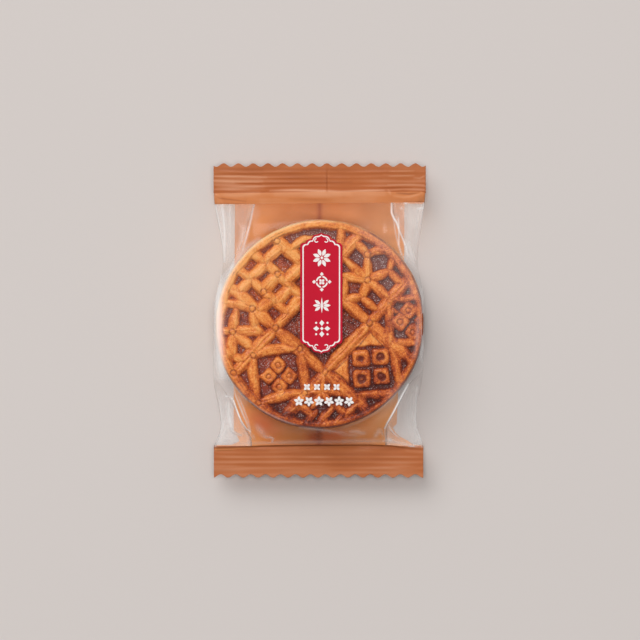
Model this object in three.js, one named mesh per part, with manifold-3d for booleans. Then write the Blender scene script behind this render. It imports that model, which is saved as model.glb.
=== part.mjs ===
// A moulded mooncake sealed in a small clear flow-wrap pouch that lies flat.
// Millimetres, +Z up, +Y towards the upper end seal, origin under the middle of the pouch.
import * as THREE from 'three';
import { mergeVertices } from 'three/addons/utils/BufferGeometryUtils.js';
import Module from 'manifold-3d';

// Driving dimensions of the pouch
const PACK_LENGTH = 100;
const SEAL_HEIGHT = 8;
const UPPER_BAND = { depth: 9, left: -33.3, right: 34.2, tip: -30.08, pitch: 4.69 };
const LOWER_BAND = { depth: 9.6, left: -33.2, right: 33.4, tip: -28.65, pitch: 4.76 };
const BAND_THICKNESS = 0.9;
const BAND_LAP = 0.4;
const CRIMP_START = 0.6;
const CRIMP_PITCH = 1.55;
const CRIMP_RELIEF = 0.22;
const TOOTH_DEPTH = 1.1;
const FILM = 0.5;

// Driving dimensions of the cake
const CAKE_X = 0.5;
const CAKE_Y = -1.15;
const CAKE_RADIUS = 33;
const CAKE_HEIGHT = 19;
const SIDE_BULGE = 0.5;
const BASE_EDGE = 3;
const TOP_EDGE = 1.1;
const RELIEF = 1.9;
const CLEARANCE = 0.3;
const CAKE_BASE = FILM + CLEARANCE;
const CAKE_TOP = CAKE_BASE + CAKE_HEIGHT;
const FLOOR = CAKE_TOP - RELIEF;
const SINK = 0.6;

// The ornament stands on a turned square lattice, and its places are counted in lattice units
const LATTICE = 10.5;
const LATTICE_TURN = THREE.MathUtils.degToRad(48);
const ORNAMENT_X = 1.3;
const ORNAMENT_Y = -1.5;
const RECESS_X = 0.75;
const RECESS_Y = -1.4;
const RECESS_RADIUS = 31.1;
const RECESS_SLOPE = 0.5;
const BAR_RIDGE = 1.9;
const BAR_SPREAD = 0.95;
const LATTICE_LAP = 0.08;
const WEAVE_BAR = 3.1;
const RUNG_WIDTH = 3.9;
const RUNG_SLANT = 0.03;
const FRAME_WIDTH = 3.6;
const FLOWER_REACH = 0.66;
const STUD_RADIUS = 1;

// Sections of the ornament, as shares of a piece's own width
const BAR_CROWN = 0.44;
const PETAL_TIP = 0.3;
const PETAL_CURVE = 0.6;
const STUD_CROWN = 0.7;
const PLATE_CROWN = 0.8;
const BLOCK_CROWN = 0.82;
const PIT = { foot: 0.16, mouth: 0.27, depth: 0.7 };
const KNOB = { foot: 0.12, crown: 0.09, drop: 0.2 };

// How far the crowns stay below the top of the cake, and how far a cutting tool reaches past it
const BAR_DROP = 0.08;
const BLOCK_DROP = 0.25;
const PAST = 1;

const ROUND = 64;
const PETAL_STEPS = 4;
const PETAL_WIDTH = 3.2;

const crust = new THREE.MeshStandardMaterial({ color: 0xc0712f, roughness: 0.45, metalness: 0 });
const clearFilm = new THREE.MeshStandardMaterial({
  color: 0xd9c3b2, roughness: 0.2, metalness: 0, transparent: true, opacity: 0.6,
});

const wasm = await Module();
wasm.setup();

// Solid from a closed three.js geometry, by its positions alone
function solidOf(geometry) {
  const bare = geometry.clone();
  bare.deleteAttribute('normal');
  bare.deleteAttribute('uv');
  const merged = mergeVertices(bare, 1e-4);
  return new wasm.Manifold(new wasm.Mesh({
    numProp: 3,
    vertProperties: new Float32Array(merged.attributes.position.array),
    triVerts: new Uint32Array(merged.index.array),
  }));
}

function geometryOf(solid) {
  const mesh = solid.getMesh();
  const geometry = new THREE.BufferGeometry();
  geometry.setAttribute('position', new THREE.BufferAttribute(mesh.vertProperties, 3));
  geometry.setIndex(new THREE.BufferAttribute(mesh.triVerts, 1));
  geometry.computeVertexNormals();
  return geometry;
}

// Closed solid through rings of the same number of points, capped by a fan at each end
function loft(rings) {
  const count = rings[0].length;
  const points = rings.flat();
  const index = [];
  for (let i = 0; i + 1 < rings.length; i += 1) {
    for (let j = 0; j < count; j += 1) {
      const next = (j + 1) % count;
      const [low, high] = [i * count, (i + 1) * count];
      index.push(low + j, low + next, high + next, low + j, high + next, high + j);
    }
  }
  const last = (rings.length - 1) * count;
  for (let j = 1; j + 1 < count; j += 1) {
    index.push(0, j + 1, j);
    index.push(last, last + j, last + j + 1);
  }
  const geometry = new THREE.BufferGeometry().setFromPoints(points);
  geometry.setIndex(index);
  return solidOf(geometry);
}

function turned(profile, segments = ROUND) {
  return solidOf(new THREE.LatheGeometry(profile, segments).rotateX(Math.PI / 2));
}

function joined(solids) {
  return solids.slice(1).reduce((sum, solid) => sum.add(solid), solids[0]);
}

// Radius of the bulging side, grown outwards by a margin
function sideRadius(z, grown = 0) {
  const half = CAKE_HEIGHT / 2;
  const off = (z - CAKE_BASE - half) / half;
  return CAKE_RADIUS - SIDE_BULGE * off * off + grown;
}

// Outer half-section from the middle of the base up to the shoulder
function outerProfile(grown) {
  const low = CAKE_BASE - grown;
  const high = CAKE_TOP + grown;
  const lowCentre = CAKE_BASE + BASE_EDGE;
  const highCentre = CAKE_TOP - TOP_EDGE;
  const profile = [new THREE.Vector2(0, low)];
  for (let i = 0; i < 4; i += 1) {
    const a = (i / 4) * Math.PI / 2;
    const r = sideRadius(lowCentre) - BASE_EDGE + (BASE_EDGE + grown) * Math.sin(a);
    profile.push(new THREE.Vector2(r, lowCentre - (lowCentre - low) * Math.cos(a)));
  }
  for (let i = 0; i <= 4; i += 1) {
    const z = lowCentre + (i / 4) * (highCentre - lowCentre);
    profile.push(new THREE.Vector2(sideRadius(z, grown), z));
  }
  for (let i = 1; i <= 3; i += 1) {
    const a = (i / 3) * Math.PI / 2;
    const r = sideRadius(highCentre) - TOP_EDGE + (TOP_EDGE + grown) * Math.cos(a);
    profile.push(new THREE.Vector2(r, highCentre + (high - highCentre) * Math.sin(a)));
  }
  return profile;
}

// Body of the cake with its raised rim and the sunk floor inside it
function cakeBody() {
  const body = turned([...outerProfile(0), new THREE.Vector2(0, CAKE_TOP)]);
  const sunk = turned([
    new THREE.Vector2(0, FLOOR),
    new THREE.Vector2(RECESS_RADIUS - RECESS_SLOPE, FLOOR),
    new THREE.Vector2(RECESS_RADIUS, CAKE_TOP + PAST),
    new THREE.Vector2(0, CAKE_TOP + PAST),
  ]);
  return body.subtract(sunk.translate([RECESS_X - CAKE_X, RECESS_Y - CAKE_Y, 0]));
}

// Place in the cake's own frame of a point counted in lattice units
function at([u, v]) {
  const point = new THREE.Vector2(u, v).multiplyScalar(LATTICE);
  point.rotateAround(new THREE.Vector2(), LATTICE_TURN);
  return point.add(new THREE.Vector2(ORNAMENT_X - CAKE_X, ORNAMENT_Y - CAKE_Y));
}

// Corner of a section that stands across a line
function beside(middle, across, offset, z) {
  return new THREE.Vector3(middle.x + across.x * offset, middle.y + across.y * offset, z);
}

// Straight raised bar with sloping flanks and a flat crown, that starts below the floor
function bar(start, end, width, top) {
  const across = end.clone().sub(start);
  across.set(-across.y, across.x).normalize();
  const [foot, crown] = [width / 2, (BAR_CROWN * width) / 2];
  const ring = [[-foot, FLOOR - SINK], [foot, FLOOR - SINK], [crown, top], [-crown, top]];
  return loft([start, end].map((middle) => ring.map(([offset, z]) => beside(middle, across, offset, z))));
}

// Leaf-shaped petal with one ridge between two lattice places, bowed to the left of its run
function petal(from, to, width = PETAL_WIDTH, bow = 0) {
  const [start, end] = [at(from), at(to)];
  const along = end.clone().sub(start);
  const across = new THREE.Vector2(-along.y, along.x).normalize();
  const rings = [];
  for (let i = 0; i <= PETAL_STEPS; i += 1) {
    const t = i / PETAL_STEPS;
    const middle = start.clone().addScaledVector(along, t).addScaledVector(across, 4 * bow * t * (1 - t));
    const half = (width / 2) * Math.max(Math.sin(Math.PI * t) ** PETAL_CURVE, PETAL_TIP);
    const ring = [[-half, FLOOR - SINK], [half, FLOOR - SINK], [0, CAKE_TOP]];
    rings.push(ring.map(([offset, z]) => beside(middle, across, offset, z)));
  }
  return loft(rings);
}

// Pair of straight bars side by side
function doubleBar(from, to) {
  const [start, end] = [at(from), at(to)];
  const side = end.clone().sub(start);
  side.set(-side.y, side.x).setLength(BAR_SPREAD);
  return [-1, 1].map((sign) => bar(
    start.clone().addScaledVector(side, sign),
    end.clone().addScaledVector(side, sign),
    BAR_RIDGE,
    CAKE_TOP - BAR_DROP,
  ));
}

// Low frustum with a flat crown, square for blocks and round for studs
function frustum(centre, radius, crown, low, high, sides, turn) {
  const ring = (r, z) => Array.from({ length: sides }, (_, i) => {
    const a = turn + (i / sides) * 2 * Math.PI;
    return new THREE.Vector3(centre.x + r * Math.cos(a), centre.y + r * Math.sin(a), z);
  });
  return loft([ring(radius, low), ring(crown, high)]);
}

function stud(place) {
  return frustum(at(place), STUD_RADIUS, STUD_RADIUS * STUD_CROWN, FLOOR - SINK, CAKE_TOP, 6, 0);
}

// Low three-cornered plate in a corner of the lattice, with one leg along each lattice direction
function plate([u, v], legU, legV) {
  const ring = (grown, z) => [[u, v], [u + legU, v], [u, v + legV]].map((place) => {
    const centre = at([u + legU / 3, v + legV / 3]);
    const corner = at(place).sub(centre).multiplyScalar(grown).add(centre);
    return new THREE.Vector3(corner.x, corner.y, z);
  });
  const rings = [ring(1, FLOOR - SINK), ring(PLATE_CROWN, FLOOR + RELIEF / 2)];
  return loft(legU * legV > 0 ? rings : rings.map((corners) => corners.reverse()));
}

// Square block with a round pit and a small stud in the pit
function block(place, side, turn) {
  const centre = at(place);
  const corner = side / Math.SQRT2;
  const angle = LATTICE_TURN + turn + Math.PI / 4;
  const top = CAKE_TOP - BLOCK_DROP;
  const pitFloor = top - PIT.depth;
  const square = frustum(centre, corner, corner * BLOCK_CROWN, FLOOR - SINK, top, 4, angle);
  const pit = frustum(centre, side * PIT.foot, side * PIT.mouth, pitFloor, top + KNOB.drop, 8, 0);
  const [foot, crown] = [side * KNOB.foot, side * KNOB.crown];
  const knob = frustum(centre, foot, crown, pitFloor - KNOB.drop, top - KNOB.drop, 6, 0);
  return square.subtract(pit).add(knob);
}

// Four ridged pairs that cross in a turned square
function lattice() {
  const reach = Math.sqrt((RECESS_RADIUS / LATTICE) ** 2 - 1) + LATTICE_LAP;
  return [-1, 1].flatMap((line) => [
    ...doubleBar([line, -reach], [line, reach]),
    ...doubleBar([-reach, line], [reach, line]),
  ]);
}

// Upper left field: two long bars with staggered rungs between them
function weaveField() {
  const bars = [-0.43, 0.24].map((u) => bar(at([u, 1]), at([u, 2.98]), WEAVE_BAR, CAKE_TOP - BAR_DROP));
  const columns = [
    { from: -0.95, to: -0.42, rows: [2.51, 1.69] },
    { from: -0.4, to: 0.2, rows: [2.53, 2.05, 1.53] },
    { from: 0.3, to: 0.9, rows: [2.55, 1.65] },
  ];
  const rungs = columns.flatMap(({ from, to, rows }) => rows.map(
    (v) => petal([from, v + RUNG_SLANT], [to, v - RUNG_SLANT], RUNG_WIDTH),
  ));
  return [...bars, ...rungs];
}

// Upper right field: a star of petals round one stud and a small spray above it
function starField() {
  const star = [1.93, -0.12];
  const spray = [2.52, 0.42];
  const tips = [[2.47, 0.38], [1.95, 0.9], [1.51, 0.58], [1.42, -0.33], [1.94, -0.95], [2.56, -0.42]];
  return [
    ...tips.map((tip) => petal(star, tip)),
    petal([2.53, 0.92], spray, 2.9),
    petal(spray, [3.03, -0.06], 2.9, 0.7),
    petal([2.56, -0.4], [2.55, -0.95], 2.8),
    petal([2.56, -0.42], [3.03, -0.18], 2.6),
    petal([1.48, 0.46], [1, -0.03], 2.8),
    petal([0.99, -0.07], [1.43, -0.32], 2.9, 0.5),
    petal([1.42, -0.31], [1.45, -0.95], 3),
    stud(star),
    stud(spray),
  ];
}

// Lower right field: four large pitted blocks with two low plates and outer petals
function blockField() {
  const [u, v] = [0.02, -1.94];
  const step = 0.42;
  const places = [[u, v + step], [u + step, v], [u - step, v], [u, v - step]];
  return [
    ...places.map((place) => block(place, 6, Math.PI / 4)),
    plate([0.8, -1.16], -0.62, -0.62),
    plate([-0.78, -1.18], 0.62, -0.62),
    petal([0.86, -2.03], [0.14, -3.03], 3.2, 0.5),
    petal([-0.85, -2.17], [0.07, -3.01], 3.1, -0.5),
  ];
}

// Lower left field: a square of long petals round four small blocks
function framedField() {
  const corners = [[-0.98, 0.02], [-2.08, 0.95], [-3.02, -0.13], [-1.87, -0.98]];
  const bows = [-0.9, -0.5, 0.6, -0.3];
  const frame = corners.map((corner, i) => petal(corner, corners[(i + 1) % 4], FRAME_WIDTH, bows[i]));
  const [u, v] = [-2, -0.04];
  const step = 0.225;
  const places = [[u + step, v + step], [u - step, v + step], [u + step, v - step], [u - step, v - step]];
  return [...frame, ...places.map((place) => block(place, 4.5, 0)), ...corners.map(stud)];
}

// Right edge field: a chord and two side petals round four small blocks
function rightField() {
  const places = [[1.99, -1.65], [1.6, -1.68], [1.64, -2.12], [2.06, -2.1]];
  return [
    petal([1.88, -0.97], [0.97, -1.95]),
    petal([1.9, -1], [2.56, -1.57], 2.7),
    petal([1.07, -1.93], [1.52, -2.54], 2.7),
    plate([1.86, -1.2], -0.36, -0.32),
    plate([1.2, -1.9], -0.3, 0.34),
    ...places.map((place) => block(place, 3.9, 0)),
  ];
}

// Left edge field: petals spread from one stud near the rim
function leftField() {
  const star = [-1.97, 1.87];
  return [
    petal([-1.08, 1.86], [-1.45, 2.61], 3.4, -0.6),
    petal(star, [-1.44, 2.22], 3.5),
    petal([-1.09, 1.85], [-1.42, 1.42], 3.3),
    petal(star, [-1.38, 1.15], 3.6, 0.8),
    petal(star, [-1.92, 1], 3.5),
    petal(star, [-2.5, 1.38], 3.4),
    petal([-2.5, 1.42], [-2.38, 1], 3),
    petal(star, [-2.15, 2.15], 2.8),
    petal([-2.48, 1.4], [-2.58, 1.72], 2.8),
    petal([-1.4, 1.17], [-1.36, 1.61], 3),
    stud(star),
  ];
}

// Upper field, between the two uppermost bars
function upperField() {
  return [
    petal([2.56, 1.54], [2.06, 1.06]),
    petal([1.05, 2.2], [1.74, 1.99], 2.8, 0.9),
    petal([1.73, 1.98], [2.08, 1.4], 2.8, 0.5),
    petal([0.97, 1.78], [1.3, 1.42], 2.8, 0.5),
    petal([2.14, 1.1], [1.41, 1.29], 2.8),
    petal([1, 1.1], [1.36, 1.36], 2.8),
  ];
}

// Lower field, opposite to the upper one
function lowerField() {
  return [
    petal([-2.88, -0.95], [-2.2, -1.06]),
    petal([-2.24, -1.05], [-2.21, -1.63], 2.9),
    petal([-2.62, -1.58], [-2.03, -1.59], 2.5),
    petal([-2.35, -1.9], [-1.64, -1.87]),
    petal([-2.12, -2.27], [-1.55, -2.27], 2.5),
    petal([-1.52, -1.9], [-1.54, -2.45], 2.8),
    petal([-1.58, -2.34], [-1.02, -2.39], 2.9),
    petal([-1.05, -1], [-1.5, -1.34], 2.9),
    petal([-1.9, -1.02], [-1.49, -1.32], 2.8, 0.5),
    petal([-1.49, -1.32], [-1.21, -1.85], 2.8, 0.5),
    petal([-1.5, -1.33], [-1.64, -1.87], 2.9),
    petal([-1.5, -1.33], [-2.05, -1.42], 2.9),
  ];
}

// Flower in the middle square
function middleField() {
  const tips = [[FLOWER_REACH, 0], [0, FLOWER_REACH], [-FLOWER_REACH, 0], [0, -FLOWER_REACH]];
  return [...tips.map((tip) => petal([0, 0], tip)), stud([0, 0])];
}

function mooncake() {
  const places = [
    [1, 1], [1, -1], [-1, 1], [-1, -1],
    [-1.03, 1.9], [-0.43, 1.98], [0.24, 2.02], [0.97, 2.72], [-2.86, 1.01],
  ];
  const ornament = joined([
    ...lattice(), ...weaveField(), ...starField(), ...blockField(), ...framedField(), ...rightField(),
    ...leftField(), ...upperField(), ...lowerField(), ...middleField(), ...places.map(stud),
  ]);
  const keep = turned([
    new THREE.Vector2(0, FLOOR - 2 * SINK),
    new THREE.Vector2(RECESS_RADIUS, FLOOR - 2 * SINK),
    new THREE.Vector2(RECESS_RADIUS, CAKE_TOP + PAST),
    new THREE.Vector2(0, CAKE_TOP + PAST),
  ]).translate([RECESS_X - CAKE_X, RECESS_Y - CAKE_Y, 0]);
  const mesh = new THREE.Mesh(geometryOf(cakeBody().add(ornament.intersect(keep))), crust);
  mesh.name = 'mooncake';
  mesh.position.set(CAKE_X, CAKE_Y, 0);
  return mesh;
}

// Half-width of the pouch on each side, with a neck between the cake and each seal
const SIDES = {
  right: [[-40.4, 33.3], [-31, 31.4], [-14, 34.3], [6, 34.3], [20, 32.2], [41, 34]],
  left: [[-40.4, 33.1], [-34, 31.2], [-16, 34.3], [2, 34], [20, 30.9], [41, 33.2]],
};

function sideReach(stops, y) {
  const next = Math.max(1, stops.findIndex(([stop]) => stop >= y));
  const [[y0, x0], [y1, x1]] = [stops[next - 1], stops[next]];
  return x0 + (x1 - x0) * THREE.MathUtils.smoothstep(y, y0, y1);
}

const UPPER_SEAL = PACK_LENGTH / 2 - UPPER_BAND.depth;
const LOWER_SEAL = -PACK_LENGTH / 2 + LOWER_BAND.depth;
const DRAPE_RADIUS = 31.4;
const DRAPE_TOP = CAKE_TOP + CLEARANCE + FILM - 0.2;
const DRAPE_CURVE = 1.6;
const TUCK_START = 17;
const TUCK_DEPTH = 10;
const TUCK_CURVE = 1.4;
const FOLD_CURVE = 1.3;
const EDGE_INSET = 0.8;
const SHOULDER = 7.6;
const UNDERSIDE = 4.8;
const STATIONS = 28;
const COLUMNS = 14;
const REACH_STEP = 0.1;

// How far a place lies from the cake's edge towards the outline of the pouch, from 0 to 1
function outward(x, y) {
  const [dx, dy] = [x - CAKE_X, y - CAKE_Y];
  const r = Math.hypot(dx, dy);
  if (r <= DRAPE_RADIUS) return 0;
  let reach = r;
  for (; reach < PACK_LENGTH; reach += REACH_STEP) {
    const [px, py] = [CAKE_X + (dx / r) * reach, CAKE_Y + (dy / r) * reach];
    if (py >= UPPER_SEAL || py <= LOWER_SEAL) break;
    if (px > sideReach(SIDES.right, py) || px < -sideReach(SIDES.left, py)) break;
  }
  return Math.min(1, (r - DRAPE_RADIUS) / (reach - DRAPE_RADIUS));
}

// Closeness to the nearer seal: 0 beside the cake, 1 at the seal
function sealed(y) {
  const end = y > 0 ? UPPER_SEAL : -LOWER_SEAL;
  return THREE.MathUtils.clamp((Math.abs(y) - TUCK_START) / (end - TUCK_START), 0, 1);
}

// One ring of the pouch across its width: upper film, tucked side, lower film, tucked side
function pouchRing(y) {
  const close = sealed(y);
  const fold = (1 - close) ** FOLD_CURVE;
  const half = BAND_THICKNESS / 2;
  const upperEdge = SEAL_HEIGHT + half + fold * SHOULDER;
  const lowerEdge = SEAL_HEIGHT - half - fold * UNDERSIDE;
  const inset = EDGE_INSET * fold;
  const [left, right] = [-sideReach(SIDES.left, y), sideReach(SIDES.right, y)];
  const tuck = TUCK_DEPTH * close ** TUCK_CURVE;
  const height = (x, centre, edge) => edge + (centre - edge) * (1 - outward(x, y) ** (DRAPE_CURVE + fold));
  const upper = [];
  const lower = [];
  for (let i = 0; i <= COLUMNS; i += 1) {
    const across = (1 - Math.cos((i / COLUMNS) * Math.PI)) / 2;
    const x = left + inset + across * (right - left - 2 * inset);
    upper.push(new THREE.Vector3(x, y, height(x, DRAPE_TOP, upperEdge)));
    lower.unshift(new THREE.Vector3(x, y, height(x, 0, lowerEdge)));
  }
  const middle = SEAL_HEIGHT + fold;
  const rightTuck = new THREE.Vector3(right - tuck, y, middle);
  const leftTuck = new THREE.Vector3(left + tuck, y, middle);
  return [...upper, rightTuck, ...lower, leftTuck];
}

function pouchBody() {
  const rings = [];
  for (let i = 0; i <= STATIONS; i += 1) {
    rings.push(pouchRing(LOWER_SEAL + (i / STATIONS) * (UPPER_SEAL - LOWER_SEAL)));
  }
  return loft(rings);
}

// Saw-tooth edge from the left end of a band to its right one, with its tips at whole pitches
function toothEdge({ left, right, tip, pitch }, sign) {
  const half = pitch / 2;
  const places = [left];
  for (let i = Math.ceil((left - tip) / half); tip + i * half < right; i += 1) places.push(tip + i * half);
  places.push(right);
  return places.map((x) => {
    const phase = (x - tip) / pitch;
    const drop = 2 * TOOTH_DEPTH * Math.abs(phase - Math.round(phase));
    return new THREE.Vector2(x, sign * (PACK_LENGTH / 2 - drop));
  });
}

// Flat end seal with crimped ridges along it and a saw-tooth outer edge
function sealBand(band, sign) {
  const { depth, left, right } = band;
  const outer = sign * PACK_LENGTH / 2;
  const inner = outer - sign * (depth + BAND_LAP);
  const thick = BAND_THICKNESS / 2;
  const section = new THREE.Shape();
  const ridges = Math.floor((depth - CRIMP_START - TOOTH_DEPTH) / CRIMP_PITCH);
  const surface = [[0, 0]];
  for (let i = 0; i < ridges; i += 1) {
    const start = CRIMP_START + i * CRIMP_PITCH;
    surface.push([start + CRIMP_PITCH / 2, CRIMP_RELIEF], [start + CRIMP_PITCH, 0]);
  }
  surface.push([depth + BAND_LAP, 0]);
  const upper = surface.map(([s, rise]) => new THREE.Vector2(s, thick + rise));
  const lower = surface.map(([s, rise]) => new THREE.Vector2(s, -thick + rise)).reverse();
  section.setFromPoints([...upper, ...lower]);
  const plate = new THREE.ExtrudeGeometry(section, { depth: right - left, bevelEnabled: false });
  const along = new THREE.Vector3(0, sign, 0);
  const across = new THREE.Vector3(sign, 0, 0);
  const placed = new THREE.Matrix4().makeBasis(along, new THREE.Vector3(0, 0, 1), across);
  placed.setPosition(sign > 0 ? left : right, inner, SEAL_HEIGHT);
  const outline = new THREE.Shape();
  const ends = [new THREE.Vector2(right, inner), new THREE.Vector2(left, inner)];
  outline.setFromPoints([...toothEdge(band, sign), ...ends]);
  const blank = new THREE.ExtrudeGeometry(outline, { depth: 2 * BAND_THICKNESS, bevelEnabled: false });
  blank.translate(0, 0, SEAL_HEIGHT - BAND_THICKNESS);
  return solidOf(plate.applyMatrix4(placed)).intersect(solidOf(blank));
}

// Pouch drawn tight round the cake, open over the cake's moulded face
function filmPouch() {
  const above = DRAPE_TOP + PAST;
  const pocket = turned([
    ...outerProfile(CLEARANCE),
    new THREE.Vector2(sideRadius(CAKE_TOP) - TOP_EDGE + CLEARANCE, above),
    new THREE.Vector2(0, above),
  ]);
  const solid = pouchBody()
    .add(sealBand(UPPER_BAND, 1))
    .add(sealBand(LOWER_BAND, -1))
    .subtract(pocket.translate([CAKE_X, CAKE_Y, 0]));
  const mesh = new THREE.Mesh(geometryOf(solid), clearFilm);
  mesh.name = 'film_pouch';
  return mesh;
}

const pack = new THREE.Group();
pack.add(mooncake(), filmPouch());

export default pack;
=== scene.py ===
"""Looks of a moulded mooncake in a small clear flow-wrap pouch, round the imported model.

Lengths are millimetres until a mesh is made. Places that were read from the photograph are
its pixels, named as such, and plan() turns them into millimetres of the shared frame.
"""
import math

import bpy
import numpy as np
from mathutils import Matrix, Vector


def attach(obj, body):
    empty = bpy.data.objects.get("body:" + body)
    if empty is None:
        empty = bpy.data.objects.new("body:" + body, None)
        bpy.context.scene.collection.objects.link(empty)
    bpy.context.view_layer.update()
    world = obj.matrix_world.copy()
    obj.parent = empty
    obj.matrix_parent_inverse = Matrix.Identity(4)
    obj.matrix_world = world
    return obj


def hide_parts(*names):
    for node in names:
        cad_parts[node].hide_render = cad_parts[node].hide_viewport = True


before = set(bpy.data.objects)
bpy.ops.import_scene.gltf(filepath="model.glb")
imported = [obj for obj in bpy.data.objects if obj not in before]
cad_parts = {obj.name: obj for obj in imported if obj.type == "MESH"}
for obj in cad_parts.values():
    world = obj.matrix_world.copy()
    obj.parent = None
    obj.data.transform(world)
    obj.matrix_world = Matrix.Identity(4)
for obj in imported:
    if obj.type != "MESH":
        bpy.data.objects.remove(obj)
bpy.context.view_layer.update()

MM = 0.001
PIXEL = 0.3175
PIXEL_ORIGIN = (318.25, 320.5)
PHOTO_SIDE = 640

# Pouch
PACK_LENGTH = 100.0
SEAL_HEIGHT = 8.0
# For each seal: depth, ends, x of one tooth's tip, tooth pitch, y of its crimp lines and their height
UPPER_BAND = {
    "sign": 1, "depth": 9.0, "left": -33.3, "right": 34.2, "tip": -30.08, "pitch": 4.69,
    "rows": [47.5, 45.7, 44.3, 42.9, 41.5], "crimp": 0.19,
}
LOWER_BAND = {
    "sign": -1, "depth": 9.6, "left": -33.2, "right": 33.4, "tip": -28.65, "pitch": 4.76,
    "rows": [-41.8, -43.3, -44.9, -46.9], "crimp": 0.07,
}
TOOTH_DEPTH = 1.1
TOOTH_STEPS = 14
BAND_ROWS = 72
BAND_LAP = 0.5
BAND_FILM = 0.28
UPPER_SEAL = PACK_LENGTH / 2 - UPPER_BAND["depth"]
LOWER_SEAL = -PACK_LENGTH / 2 + LOWER_BAND["depth"]

# Cake
CAKE_X = 0.5
CAKE_Y = -1.15
CAKE_RADIUS = 33.0
CAKE_HEIGHT = 19.0
CAKE_BASE = 0.8
CAKE_TOP = CAKE_BASE + CAKE_HEIGHT
SIDE_BULGE = 0.35
BASE_EDGE = 3.0
TOP_EDGE = 1.1
RELIEF = 1.9
SWELL = 1.005
OUT_OF_ROUND = 0.0095
OUT_OF_ROUND_TURN = math.radians(45)

# Ornament on its turned square lattice, counted in lattice units
LATTICE = 10.5
LATTICE_TURN = math.radians(48)
ORNAMENT_X = 1.3
ORNAMENT_Y = -1.5
RECESS_X = 0.75
RECESS_Y = -1.4
RECESS_RADIUS = 31.0
RECESS_SLOPE = 1.5
# Round studs on the crossings: radius of the burnt ring, its width and depth, and the stud's foot
STUD_RADIUS = 0.95
STUD_RING = 0.36
STUD_GROOVE = 0.10
STUD_FOOT = 1.7
STUD_SCORCH = 0.58
STUD_SCORCHED = 1.5
# Scorched lines along the rim: distance outwards from the recess, width and strength
RIM_LINES = [(-0.1, 0.28, 1.0), (0.85, 0.22, 0.8)]
RIM_SCORCH = 0.55

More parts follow.
